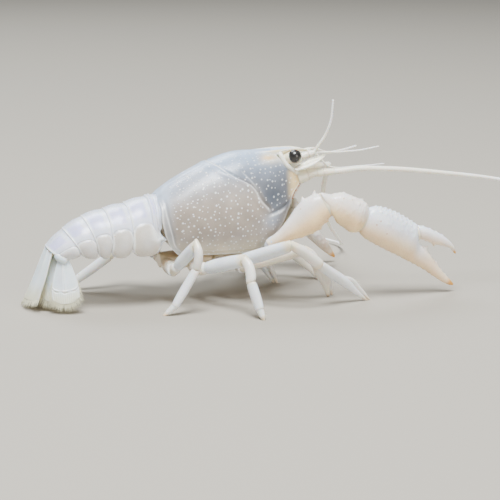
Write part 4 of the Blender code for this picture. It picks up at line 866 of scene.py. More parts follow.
# Feelers: each small feeler is a three-jointed stem with two lashes, and each long one a
# stout jointed base, a flat scale with a spine and a fringe, and a whip of many rings.
ANTENNULE_ROOT, ANTENNULE_RADIUS = (1.75, 33.0), 1.05
ANTENNULE_KNEE, ANTENNULE_END = (13.4, 1.9, 35.6), (16.6, 2.2, 36.6)
ANTENNA_ROOT, ANTENNA_RADIUS = (3.8, 30.6), 1.75
ANTENNA_ELBOW, ANTENNA_END = (15.2, 4.4, 31.6), (21.0, 5.0, 31.9)
SCALE_ROOT, SCALE_TIP, SCALE_WIDTH = (10.4, 5.3, 32.9), (18.2, 5.8, 36.0), 2.6
SCALE_SHAPE = [(0, 0.55), (0.25, 0.85), (0.55, 0.85), (0.8, 0.5), (1, 0.06)]
SCALE_BRISTLES, FINE_RADIUS = 150, 0.035
LASHES = {
    "r": ([(17.5, 2.5, 38.4), (19.2, 3.0, 41.1), (20.4, 3.5, 44.4), (20.9, 4.0, 50.2)],
          [(23.3, 3.0, 36.6), (28.0, 3.6, 36.9), (33.5, 4.0, 37.8)]),
    "l": ([(22.6, 5.0, 35.2), (27.6, 8.0, 35.2), (32.4, 11.0, 35.6)],
          [(22.2, 2.2, 31.9), (30.0, 2.6, 31.6), (37.6, 3.0, 31.9)]),
}
LASH_RADII, WHIP_RADII = ((0.44, 0.27), (0.32, 0.14)), (0.8, 0.28)
WHIPS = {
    "r": [(26.7, 6.0, 32.5), (35.3, 7.0, 32.3), (50.8, 8.5, 30.7), (65.4, 9.5, 28.5), (78.0, 10.5, 25.4),
          (88.0, 11.5, 22.0)],
    "l": [(23.4, 8.6, 29.6), (24.0, 12.6, 25.4), (25.4, 18.0, 19.7), (31.4, 30.0, 10.0), (37.5, 37.6, 2.6),
          (38.6, 46.0, 1.2), (35.0, 54.0, 1.4)],
}
FEELER_WHITE = linear(244, 240, 226)
LASH_WHITE = linear(250, 250, 250)
JOINT_LINE = linear(202, 190, 172)
feeler_shell = shell_finish("feeler_shell", 0.3, tone=0.04, depth=0.0008, soft=0.4)


def jointed(rings, joints, depth=0.08, width=0.025):
    """Narrows a stem at its joints: each ring * (1 - depth exp(-((s - joint) / width) ** 2))."""
    place = share_along(rings)[:, :1]
    pinch = sum(ridge(place - joint, width) for joint in joints) * depth
    middle = rings.mean(1, keepdims=True)
    return middle + (rings - middle) * (1 - pinch)[..., None], pinch / depth


def add_stem(name, rings, joints, depth, width, dome, node, colour, line):
    """A jointed stem, capped, with a joint line of the given strength at each joint."""
    rings, pinch = jointed(rings, joints, depth, width)
    rings = capped(rings, dome)
    pinch = np.broadcast_to(np.pad(pinch, ((5, 5), (0, 0))) * line, rings.shape[:2])
    add_rings(name, rings, flesh_shell, node, mix(colour, JOINT_LINE, pinch))
    return rings


def whip(name, points, thick, thin, power, node, rows, ripple):
    """A tapering lash: r = thin + (thick - thin) (1 - s) ** power, pinched at every ring."""
    reach = along_path(points)
    fine = np.linspace(0, reach[-1], 60)
    radii = thin + (thick - thin) * (1 - fine / reach[-1]) ** power
    rings = tube_rings(curve(reach, points, fine), radii, rows=rows, columns=12, ripple=ripple)
    rings = capped(rings, thin * 0.5, 3)
    shade = mix(FEELER_WHITE, LASH_WHITE, ramp(share_along(rings), 0.3, 0.9))
    add_rings(name, rings, feeler_shell, node, shade)


for side, tag in SIDES:
    knee, end = on_side(ANTENNULE_KNEE, side), on_side(ANTENNULE_END, side)
    root, face_normal = on_front(*ANTENNULE_ROOT, side)
    path = [root - face_normal * 0.5, root + (knee - root) * 0.5, knee, knee + (end - knee) * 0.55, end]
    radii = [ANTENNULE_RADIUS * w for w in (1, 1.08, 0.88, 0.86, 0.66)]
    rings = tube_rings(path, radii, rows=60, columns=32)
    add_stem(f"antennule_stem_{tag}", rings, (0.57, 0.8), 0.16, 0.02, 0.3,
             f"antennule_{tag}", FEELER_WHITE, 0.7)
    back = unit(knee - end)
    for number, points in enumerate(LASHES[tag]):
        lift = np.array([0, 0, 0.25 - 0.5 * number])
        route = [end + back * 1.4 + lift, end + back * 0.3 + lift, *on_side(points, side)]
        whip(f"antennule_lash_{tag}_{number}", route, *LASH_RADII[number], 0.8, f"antennule_{tag}", 120,
             (0.7, 0.12))

    elbow, end = on_side(ANTENNA_ELBOW, side), on_side(ANTENNA_END, side)
    root, face_normal = on_front(*ANTENNA_ROOT, side)
    path = [root - face_normal * 0.6, root + (elbow - root) * 0.5, elbow, elbow + (end - elbow) * 0.45, end]
    radii = [ANTENNA_RADIUS * w for w in (1.0, 0.9, 0.72, 0.58, 0.48)]
    rings = tube_rings(path, radii, rows=80, columns=40)
    add_stem(f"antenna_base_{tag}", rings, (0.27, 0.52, 0.72), 0.08, 0.016, 0.35,
             f"antenna_base_{tag}", mix(HEAD_CREAM, FEELER_WHITE, 0.55), 0.4)
    run = unit(end - elbow)
    route = [end - run * 0.4, end + run * 1.6, *on_side(WHIPS[tag], side)]
    whip(f"antenna_whip_{tag}", route, *WHIP_RADII, 0.9, f"antenna_{tag}", 420, (0.62, 0.09))

    root, tip = on_side(SCALE_ROOT, side), on_side(SCALE_TIP, side)
    along = unit(tip - root)
    across = unit(np.cross(along, (-0.25, side * 0.55, 0.8)))
    out = np.cross(across, along)
    leaf = (root, along, across, out, np.linalg.norm(tip - root), SCALE_WIDTH / 2, SCALE_SHAPE, 0.25)
    t, c = np.broadcast_arrays(np.linspace(0, 1, 50)[:, None], np.linspace(-1, 1, 31)[None])
    sheet = leaf_point(leaf, t, c)
    outer_edge = ridge(c + side * 0.85, 0.14)
    thin = 0.4 * (1 - 0.45 * t) * (1 - np.abs(c) ** 4 * 0.75)
    relief = (0.16 * outer_edge * (1 - t * 0.5) + 0.12 * ridge(c + side * 0.1, 0.14)
              + 0.08 * ridge(c - side * 0.5, 0.12))
    upper, lower = sheet + out * (thin + relief)[..., None], sheet - out * thin[..., None]
    tone = mix(HEAD_CREAM, FEELER_WHITE, 0.4 + 0.6 * np.concatenate([outer_edge, outer_edge[:, ::-1]], 1))
    add_rings(f"antenna_scale_{tag}", capped(np.concatenate([upper, lower[:, ::-1]], 1)), flesh_shell,
              f"antenna_scale_{tag}", np.pad(tone, ((5, 5), (0, 0), (0, 0)), "edge"))
    t = draw.uniform(0.45, 1.0, SCALE_BRISTLES)
    roots = leaf_point(leaf, t * 0.98, np.full(SCALE_BRISTLES, side * 0.95))
    grow = unit(along + across * (side * draw.uniform(0.15, 0.6, SCALE_BRISTLES))[:, None])
    reach = draw.uniform(0.9, 1.7, SCALE_BRISTLES)
    bristles(f"antenna_scale_fringe_{tag}", roots, grow, out, reach, FINE_RADIUS, 0.0,
             f"antenna_scale_{tag}", (0.5 + 0.4 * side, 0.05 + 0.9 * t))

# Jaw feet: the last pair of mouthparts, broad and bristly jointed limbs of pale shell,
# folded up under the head.
JAW_FOOT = [(3.3, 1.6, 10.3), (4.6, 1.8, 11.4), (6.0, 2.2, 14.2), (8.8, 2.6, 18.3), (10.8, 2.5, 21.3),
            (11.5, 2.3, 23.4), (11.2, 2.1, 24.6)]
JAW_FOOT_RADII = [1.2, 1.4, 1.6, 1.6, 1.25, 1.0, 0.5]
JAW_BRISTLES, JAW_COLUMNS = 160, 32
for side, tag in SIDES:
    rings = tube_rings(on_side(JAW_FOOT, side), JAW_FOOT_RADII, up=(1, 0, -0.6), rows=80, columns=JAW_COLUMNS)
    rings = add_stem(f"jaw_foot_{tag}", rings, (0.2, 0.62, 0.85), 0.14, 0.016, 0.25,
                     f"jaw_foot_{tag}", mix(HEAD_CREAM, RIM_WHITE, 0.5), 0.6)
    pick = draw.integers(14, len(rings) - 12, JAW_BRISTLES)
    turn = draw.integers(0, JAW_COLUMNS, JAW_BRISTLES)
    middle = rings.mean(1)
    along = unit(middle[pick + 4] - middle[pick])
    outward = unit(rings[pick, turn] - middle[pick])
    inward = outward @ np.array((0.8, -side * 0.6, -0.2)) > 0.2
    reach = np.where(inward, draw.uniform(1.0, 2.0, JAW_BRISTLES), 0.35)
    bristles(f"jaw_foot_bristles_{tag}", rings[pick, turn], unit(outward + along * 0.5), along, reach,
             FINE_RADIUS, BRISTLE_BEND, f"jaw_foot_{tag}",
             (turn / JAW_COLUMNS, pick / len(rings)))

# Breastplate and legs: under the chest a hard plate carries the first joint of each leg.
# Each leg is a row of shell tubes with soft skin at the joints. Legs 2 and 3 end in small
# pincers, 4 and 5 in a horny claw.
BREAST = [(-24.2, 0.55), (-22.2, 0.9), (-12, 1.0), (-4, 0.9), (3.0, 0.6)]
BREAST_TOP, BREAST_LOW, BREAST_HALF_WIDTH = 12.0, 8.3, 4.3
RIGHT_LEGS = {
    2: [(-3.8, 6.8, 8.4), (10.1, 15.0, 14.1), (14.1, 13.2, 9.0), (17.0, 10.8, 4.8), (19.2, 8.6, 0.0)],
    3: [(-9.0, 7.3, 9.2), (5.2, 20.0, 16.5), (12.9, 19.5, 11.0), (20.4, 17.2, 5.4), (27.1, 15.6, 0.0)],
    4: [(-15.4, 7.5, 8.8), (-6.9, 20.0, 13.6), (-6.0, 23.5, 8.6), (-4.5, 25.9, 2.5), (-3.8, 27.2, 0.0)],
    5: [(-22.0, 7.3, 8.8), (-18.1, 16.0, 17.0), (-18.3, 17.0, 11.1), (-23.8, 17.3, 2.4), (-26.5, 16.9, 0.0)],
}
LEFT_LEGS = {
    2: [(-3.8, 6.8, 8.4), (8.6, 13.6, 11.4), (14.0, 12.0, 7.8), (18.9, 9.4, 3.9), (22.4, 7.6, 0.0)],
    3: [(-9.0, 7.3, 9.2), (0.4, 15.6, 12.3), (4.0, 13.4, 8.0), (6.8, 10.4, 4.0), (9.2, 8.0, 0.0)],
    4: [(-15.4, 7.5, 8.8), (-4.4, 17.6, 14.2), (-0.4, 18.6, 9.0), (3.0, 19.2, 2.6), (4.2, 19.4, 0.0)],
    5: [(-22.0, 7.3, 8.8), (-30.0, 12.9, 14.2), (-34.8, 13.2, 8.7), (-43.7, 13.7, 2.6), (-47.3, 14.0, 0.0)],
}
CLAW_COXAE = {1: [(3.4, 7.7, 11.6), (2.2, 11.2, 15.0)], -1: [(3.4, 7.7, 11.6), (2.0, 10.7, 15.0)]}
CLAW_COXA_RADIUS = 1.45
LEG_INNER, CLAW_INNER = (-0.5, 2.4, 0.9), (-3.4, 2.6, -1.3)
LEG_HALF_WIDTHS = {2: 1.35, 3: 1.6, 4: 1.55, 5: 1.4}
LEG_THINNESS, HALF_GAP, SKIN_REACH = 0.82, 0.15, 0.9
LEG_COLUMNS, LEG_BRISTLES, LEG_BRISTLE_RADIUS = 28, 46, 0.03
TOE_RADIUS, FINGER_TIP_RADIUS = 0.3, 0.27
UPPER_STATIONS = (0, 0.1, 0.16, 0.3, 0.6, 0.88, 1.0)
UPPER_SHARES = (0.95, 1.08, 0.98, 1.1, 1.15, 1.08, 0.97)
WRIST_LIFT = {2: (0.4, 0.3), 3: (0.22, 0.16), 4: (0.5, 0.45), 5: (0.5, 0.45)}
WRIST_SHARES = {2: (0.85, 0.92, 0.95, 0.9), 3: (0.84, 0.9, 0.96, 0.96), 4: (0.86, 0.9, 0.9, 0.86),
                5: (0.86, 0.9, 0.9, 0.86)}
HAND_SHARES = {2: (0.9, 1.1, 1.12, 0.6), 3: (0.82, 0.88, 0.86, 0.52)}
FOOT_SHARES = (0.88, 0.92, 0.88, 0.76)
LEG_BLUE = linear(233, 240, 250)
LEG_CREAM = linear(242, 228, 198)
TIP_YELLOW = linear(226, 178, 104)
DOWN = (0, 0, -1)
leg_shell = shell_finish("leg_shell", 0.3, fleck=0.2, tone=0.05, depth=0.0014, soft=0.45, coat=0.35)
skin = shell_finish("joint_skin", 0.45, tone=0.08, depth=0.0012, soft=0.5, coat=0.1)


def joint_plane(before, joint, after, share=0.5):
    """Normal of the plane that parts two articles, share weighing the later one."""
    return unit(unit(joint - before) * (1 - share) + unit(after - joint) * share)


def inner_end(root, step, side):
    """Where a leg starts in the breastplate: root x + step x, y = side step y, root z + step z."""
    return np.array((root[0] + step[0], side * step[1], root[2] + step[2]))


def between(start, end, shares):
    """Points on the way from start to end: start + (end - start) * share."""
    return [start + (end - start) * share for share in shares]


def joint_skin(name, point, along, radius, node, up=(0, 0, 1), flatten=1.0):
    """Soft skin in a joint: a short bulging tube along the plane's normal, in both articles."""
    path = [point - along * SKIN_REACH, point, point + along * SKIN_REACH]
    rings = capped(tube_rings(path, [radius * 0.8, radius * 0.86, radius * 0.78], up, flatten, 14, 24))
    add_rings(name, rings, skin, node, LEG_CREAM)


def article(name, node, path, radii, bend, ends, cream, rows=50, dome=0.0, joints=(), horn=None, white=0.0):
    """One article of a leg, an oval tube a little deeper than broad, with its flat on the floor.

    Its colour goes from blue to cream by cream(share along it). horn is (start, full, share).
    """
    rings = tube_rings(path, radii, bend, 1 / LEG_THINNESS, rows, LEG_COLUMNS, ends)
    if joints:
        rings, _ = jointed(rings, joints, 0.13, 0.018)
    rings = capped(rings, dome)
    rings[..., 2] = np.maximum(rings[..., 2], 0)
    place = share_along(rings)
    tone = mix(mix(LEG_BLUE, LEG_CREAM, cream(place)), RIM_WHITE, white)
    if horn:
        start, full, share = horn
        tone = mix(tone, TIP_YELLOW, ramp(place, start, full) * share)
    add_rings(name, rings, leg_shell, node, tone)
    return rings


draw = np.random.default_rng(11)
at = np.linspace(BREAST[0][0], BREAST[-1][0], 60)[:, None]
turn = around(40)
c, s = (np.sign(f) * np.abs(f) ** 0.75 for f in (np.cos(turn), np.sin(turn)))
height = (BREAST_TOP + BREAST_LOW) / 2 + (BREAST_TOP - BREAST_LOW) / 2 * s
breast = np.stack(np.broadcast_arrays(at, BREAST_HALF_WIDTH * smooth(BREAST, at) * c, height), -1)
breast[..., 2] += 0.25 * (np.cos(at * 0.98) > 0.6) * (s < 0)
add_rings("breastplate", capped(breast), flesh_shell, "breastplate", FLESH)
hips = []
for side, legs in ((1, LEFT_LEGS), (-1, RIGHT_LEGS)):
    hips += [(side, joints[:2], LEG_INNER, LEG_HALF_WIDTHS[number]) for number, joints in legs.items()]
    hips.append((side, CLAW_COXAE[side], CLAW_INNER, CLAW_COXA_RADIUS))
for number, (side, joints, step, radius) in enumerate(hips):
    root, knee = on_side(joints, side)
    inner = inner_end(root, step, side)
    end = joint_plane(inner, root, knee)
    rings = tube_rings(between(inner, root, (0, 0.55, 1)), [radius * w for w in (1.25, 1.32, 1.08)], rows=36,
                       columns=LEG_COLUMNS, ends=(None, (root - end * HALF_GAP, end)))
    rings = capped(jointed(rings, (0.62,), 0.12, 0.03)[0])
    add_rings(f"coxa_{number}", rings, leg_shell, "breastplate",
              mix(FLESH, LEG_BLUE, ramp(share_along(rings), 0.3, 1) * 0.6))

for (side, tag), legs in zip(SIDES, (LEFT_LEGS, RIGHT_LEGS)):
    for number, joints in legs.items():
        root, knee, wrist, ankle, foot = on_side(joints, side)
        leg, wide = f"leg{number}", LEG_HALF_WIDTHS[number]
        r, pale = wide * LEG_THINNESS, 0.7 * (number == 2)
        at_root = joint_plane(inner_end(root, LEG_INNER, side), root, knee)
        at_knee = joint_plane(root, knee, wrist, 0.36)
        at_wrist = joint_plane(knee, wrist, ankle)
        along = unit(knee - root)
        bend = unit(np.cross(knee - root, wrist - knee))
        start, end = root + along * HALF_GAP, knee - along * HALF_GAP
        article(f"{leg}_upper_{tag}", f"{leg}_upper_{tag}", between(start, end, UPPER_STATIONS),
                [r * w for w in UPPER_SHARES], bend, ((start, -at_root), (end, at_knee)),
                lambda s: pale + (ramp(s, 0.25, 0.05) * 0.8 + ramp(s, 0.88, 1) * 0.9) * (1 - pale), 90,
                joints=(0.17,))
        joint_skin(f"{leg}_hip_skin_{tag}", root, at_root, r, f"{leg}_upper_{tag}", bend)
        joint_skin(f"{leg}_knee_skin_{tag}", knee, at_knee, r, f"{leg}_wrist_{tag}", bend)

        start, end = knee + at_knee * HALF_GAP, wrist - unit(wrist - knee) * HALF_GAP
        lift = at_knee * np.linalg.norm(end - start) * 0.32
        high, low = WRIST_LIFT[number]
        rise, fall = between(start, end, (0.22, 0.6))
        node = f"{leg}_wrist_{tag}"
        article(node, node, [start, rise + lift * high, fall + lift * low, end],
                [r * w for w in WRIST_SHARES[number]], bend, ((start, -at_knee), (end, at_wrist)),
                lambda s: 0.45 + ramp(s, 0.3, 0) * 0.5 + ramp(s, 0.8, 1) * 0.4)
        joint_skin(f"{leg}_wrist_skin_{tag}", wrist, at_wrist, r * 0.9, node, bend)

        start = wrist + unit(ankle - wrist) * HALF_GAP
        if number > 3:
            node = f"{leg}_foot_{tag}"
            article(node, node, between(start, ankle, (0, 0.35, 0.75, 1)), [r * w for w in FOOT_SHARES],
                    bend, ((start, -at_wrist), None),
                    lambda s: 0.15 + ramp(s, 0.2, 0) * 0.5 + ramp(s, 0.85, 1) * 0.4, dome=0.3)
            path = [ankle - unit(foot - ankle) * 0.2, *between(ankle, foot, (0.3, 0.7, 1))]
            rings = article(f"{leg}_toe_{tag}", node, path, [r * 0.68, r * 0.6, r * 0.46, TOE_RADIUS], bend,
                            (None, (foot, DOWN)), lambda s: 0.3, 30, horn=(0.55, 0.95, 0.6))
        else:
            node = f"{leg}_hand_{tag}"
            aim = unit(ankle - wrist)
            spread = np.cross(unit(np.cross(aim, (0, 0, 1))), aim) * wide * (1.6 if number == 2 else 1.0)
            fixed_tip, moving_tip = (foot - spread * 0.5) * (1, 1, 0), (foot + spread * 0.5) * (1, 1, 0)
            path = [*between(start, ankle, (0, 0.3, 1)), (ankle + fixed_tip) / 2 - spread * 0.05, fixed_tip]
            article(node, node, path, [*(r * w for w in HAND_SHARES[number]), TOE_RADIUS], bend,
                    ((start, -at_wrist), (fixed_tip, DOWN)),
                    lambda s: 0.1 + 0.6 * (number == 2) + ramp(s, 0.15, 0) * 0.3 + ramp(s, 0.6, 1) * 0.3, 70,
                    horn=(0.85, 1.0, 0.5), white=0.4 * (number == 2))
            knuckle = ankle + aim * 0.8 + spread * 0.8
            hinge, bow = ankle - aim * 1.4 + spread * 0.3, (knuckle + moving_tip) / 2 + spread * 0.1
            rings = article(f"{leg}_finger_{tag}", node, [hinge, knuckle, bow, moving_tip],
                            [r * 0.56, r * 0.5, r * 0.4, FINGER_TIP_RADIUS], bend, (None, (moving_tip, DOWN)),
                            lambda s: 0.4, 40, 0.3, horn=(0.7, 1.0, 0.5))
        pick = draw.integers(6, len(rings) - 8, LEG_BRISTLES)
        turn = draw.integers(0, LEG_COLUMNS, LEG_BRISTLES)
        middle = rings.mean(1)
        run = unit(middle[np.minimum(pick + 3, len(rings) - 6)] - middle[pick - 1])
        grow = unit(unit(rings[pick, turn] - middle[pick]) + run * 0.9)
        grow[:, 2] = np.maximum(grow[:, 2], 0.0)
        reach = draw.uniform(0.4, 0.9, LEG_BRISTLES)
        bristles(f"{leg}_bristles_{tag}", rings[pick, turn], grow, run, reach, LEG_BRISTLE_RADIUS,
                 BRISTLE_BEND, node, (turn / LEG_COLUMNS, pick / len(rings)))

# Claws: the first pair of legs, each an arm, a wrist and a broad hand whose fixed finger
# bites against a movable one. Spines stand on arm and wrist, pale knobs on the hand, and
# teeth line the fingers, which end in orange horn.
ARM_UPPER = [(0, 1.3), (3.9, 1.5), (8, 2.7), (10.8, 3.8), (13.7, 4.6), (16.2, 4.5), (18.4, 3.9)]
ARM_LOWER = [(0, -1.3), (3.6, -1.7), (6.4, -2.5), (9.4, -3.4), (13, -3.9), (15.8, -3.3), (18.4, -2.7)]
ARM_HALF_THICKNESS = [1.3, 1.7, 2.1, 2.5, 2.8, 2.7, 2.4]
WRIST_UPPER = [(0, 3.2), (2.6, 4.6), (6, 4.7), (8.6, 4.5), (10.3, 3.7)]
WRIST_LOWER = [(0, -2.7), (2.5, -3.5), (5.6, -3.5), (8, -4.1), (10.3, -3.4)]
WRIST_HALF_THICKNESS = [2.2, 2.9, 3.2, 3.1, 2.3]
HAND_UPPER = [
    (0, 3.3), (1.5, 4.4), (4.6, 5.0), (8.0, 4.9), (11.2, 4.4), (12.7, 4.1),
    (14.9, 0.5), (16.6, -0.5), (18.9, -1.5), (21.3, -3.0), (24, -4.5), (26.3, -5.5), (27.8, -6.3),
]
HAND_LOWER = [
    (0, -3.2), (1.9, -4.1), (5.2, -4.6), (8.8, -4.9), (12.0, -5.1), (13.9, -5.3),
    (15.6, -5.4), (17.4, -5.6), (19.6, -5.9), (21.9, -6.4), (24.3, -6.9), (26.3, -7.1), (27.6, -6.9),
]
HAND_HALF_THICKNESS = [2.1, 2.6, 3.0, 3.0, 2.8, 2.6, 2.0, 1.8, 1.6, 1.4, 1.1, 0.75, 0.35]
HAND_TIP = (27.7, -6.6)
FINGER_UPPER = [(13.3, 4.15), (15.0, 4.5), (17.3, 4.5), (19.7, 4.3), (21.8, 3.8), (23.7, 2.9), (25.1, 1.5)]
FINGER_LOWER = [(15.3, 1.15), (16.3, 1.25), (18.1, 1.3), (19.9, 1.5), (21.5, 1.8), (23.1, 1.9), (24.8, 1.1)]
FINGER_PIVOT = (13.8, 2.6)
FINGER_HALF_THICKNESS = [1.5, 1.65, 1.55, 1.35, 1.1, 0.75, 0.3]
RUN_OUT, RUN_NARROW = 4.5, 0.28
CLAW_BASE_RADII = [1.4, 1.48, 1.4, 1.2]
# Each spine or knob is its place along, turn in degrees, height and width.
ARM_SPINES = [(13.6, 6, 0.9, 0.42), (17.1, 8, 0.9, 0.42), (9.2, 168, 0.15, 0.42), (11.8, 170, 0.25, 0.42),
              (14.0, 174, 0.3, 0.42), (16.4, 178, 0.3, 0.42)]
WRIST_SPINES = [(3.0, 0, 0.3, 0.36), (5.4, 18, 0.3, 0.36), (7.6, 0, 0.45, 0.36), (4.4, 40, 0.25, 0.36),
                (6.6, 44, 0.25, 0.36), (8.4, 30, 0.3, 0.36)]
HAND_KNOBS = [(a, 0, 0.34, 0.36) for a in np.arange(1.6, 12.2, 1.25)]
HAND_KNOBS += [(a, t, 0.26, 0.33) for t in (20, -20, 42) for a in np.arange(2.2 + 0.01 * t, 12.2, 1.4)]
HAND_KNOBS += [(a, 180, 0.16, 0.34) for a in np.arange(2, 22, 1.5)]
HAND_KNOBS += [(a, 0, 0.2, 0.34) for a in np.arange(15.8, 26, 1.3)]
HAND_KNOBS += [(17.7, 0, 0.9, 0.55), (21.6, 0, 0.45, 0.4)]
FINGER_KNOBS = [(a, 0, 0.2, 0.34) for a in (15.2, 16.8, 18.4, 20.0)]
FINGER_KNOBS += [(a, t, 0.12, 0.3) for t in (30, -30) for a in (15.8, 17.4, 19)]
FINGER_KNOBS += [(a, 180, 0.14, 0.34) for a in np.arange(16, 24, 1.2)] + [(18.6, 180, 0.7, 0.5)]
# Each claw is its joints, side, tag, opening direction, share of the elbow's plane, how far the
# finger is closed in degrees and its warmth: painted warm light below and orange on the finger's edge.
RIGHT_CLAW = [(3.4, 7.7, 11.6), (2.0, 10.7, 15.0), (16.3, 14.0, 24.8), (26.1, 14.0, 20.7), (51.0, 13.0, 1.3)]
LEFT_CLAW = [(3.4, 7.7, 11.6), (2.2, 11.2, 15.0), (4.0, 23.0, 24.0), (13.5, 21.0, 20.6), (31.8, 26.6, 1.6)]
CLAWS = ((RIGHT_CLAW, -1, "r", (0.47, 0.0, 0.87), 0.1, 0, 0.0),
         (LEFT_CLAW, 1, "l", (0.12, -0.98, -0.17), 0.5, 16, 0.3))
CLAW_BLUE = linear(230, 238, 250)
CLAW_PEACH = linear(252, 218, 168)
HORN_ORANGE = linear(216, 156, 62)
claw_shell = shell_finish("claw_shell", 0.3, fleck=0.5, tone=0.05, depth=0.0016, soft=0.4, coat=0.35)


def flat_rings(origin, along, across, upper, lower, half, rows, ends=(None, None), columns=72):
    """Rings that span an upper and a lower outline: a full oval, |cos| ** 0.85 and |sin| ** 0.85.

    An end with a plane runs on past it, narrowing, and is slid back to it.
    """
    index = np.arange(len(half), dtype=float)
    at = np.linspace(0, index[-1], rows)
    lines = (curve(index, outline, at) for outline in (upper, lower))
    top, foot = (origin + along * line[:, :1] + across * line[:, 1:] for line in lines)
    thick = np.cross(along, across) * smooth(np.stack([index, half], 1), at)[:, None]
    turn = around(columns)
    c, s = ((np.sign(f) * np.abs(f) ** 0.85)[:, None] for f in (np.cos(turn), np.sin(turn)))
    rings = ((top + foot) / 2)[:, None] + ((top - foot) / 2)[:, None] * c + thick[:, None] * s
    steps = np.linspace(1, 0, 9)[:-1, None, None]
    parts = [rings]
    for ring, way, end in ((rings[0], -1, ends[0]), (rings[-1], 1, ends[1])):
        if end is not None:
            middle = ring.mean(0)
            more = middle + (ring - middle) * (1 - RUN_NARROW * steps) + along * (way * RUN_OUT * steps)
            parts = [more, *parts] if way < 0 else [*parts, more[::-1]]
    rings = np.concatenate(parts)
    for end in ends:
        if end is not None:
            rings = cut_to(rings, along, end)
    return rings


def knobbed(rings, origin, along, reach, rows, lean=0.0):
    """Bumps: (normal + along * lean) * h * exp(-(distance / w) ** 2), highest one at each point.

    Each row is a bump's place along, to be stretched by reach, its turn in degrees, h and w.
    """
    place, turn, height, width = np.array(rows, float).T[..., None]
    row = np.abs((rings.mean(1) - origin) @ along - place * reach).argmin(1)
    column = np.round(turn[:, 0] / 360 * rings.shape[1]).astype(int) % rings.shape[1]
    normal = np.cross(np.roll(rings, -1, 1) - np.roll(rings, 1, 1), np.gradient(rings, axis=0))
    normal = normal / np.maximum(np.linalg.norm(normal, axis=-1, keepdims=True), 1e-9)
    normal *= np.sign((normal * (rings - rings.mean(1, keepdims=True))).sum(-1).mean())
    far = np.linalg.norm(rings[None] - rings[row, column][:, None, None], axis=-1) / width[..., None]
    bump = np.exp(-far**2)
    lift = (height[..., None] * bump).max(0)
    return rings + (normal + along * lean) * lift[..., None], bump.max(0)


def scattered(count, *values):
    """Rows of small bumps; a value given as two bounds is drawn anew for each of them."""
    return np.stack([draw.uniform(*value, count) if isinstance(value, tuple) else np.full(count, value)
                     for value in values], 1)


def turned(outline, pivot, degrees):
    """An outline's pairs, turned clockwise about a pivot pair."""
    c, s = np.cos(np.radians(degrees)), np.sin(np.radians(degrees))
    a, b = (np.array(outline) - pivot).T
    return np.stack([pivot[0] + c * a + s * b, pivot[1] - s * a + c * b], 1)


def stretched(outline, share):
    """An outline's pairs, lengthened by share."""
    return np.array(outline) * (share, 1)


def claw_painted_light(rings, across, low=0.0):
    """Painted light: bluish white above, where the cool top light falls, to peach below, from the warm
    floor's bounce, by the height of each point across the article. low moves it all towards peach.
    """
    level = (rings - rings.mean(1, keepdims=True)) @ across
    return mix(CLAW_BLUE, CLAW_PEACH, np.clip(ramp(level, 2.6, -3.2) * 0.9 + low, 0, 1))


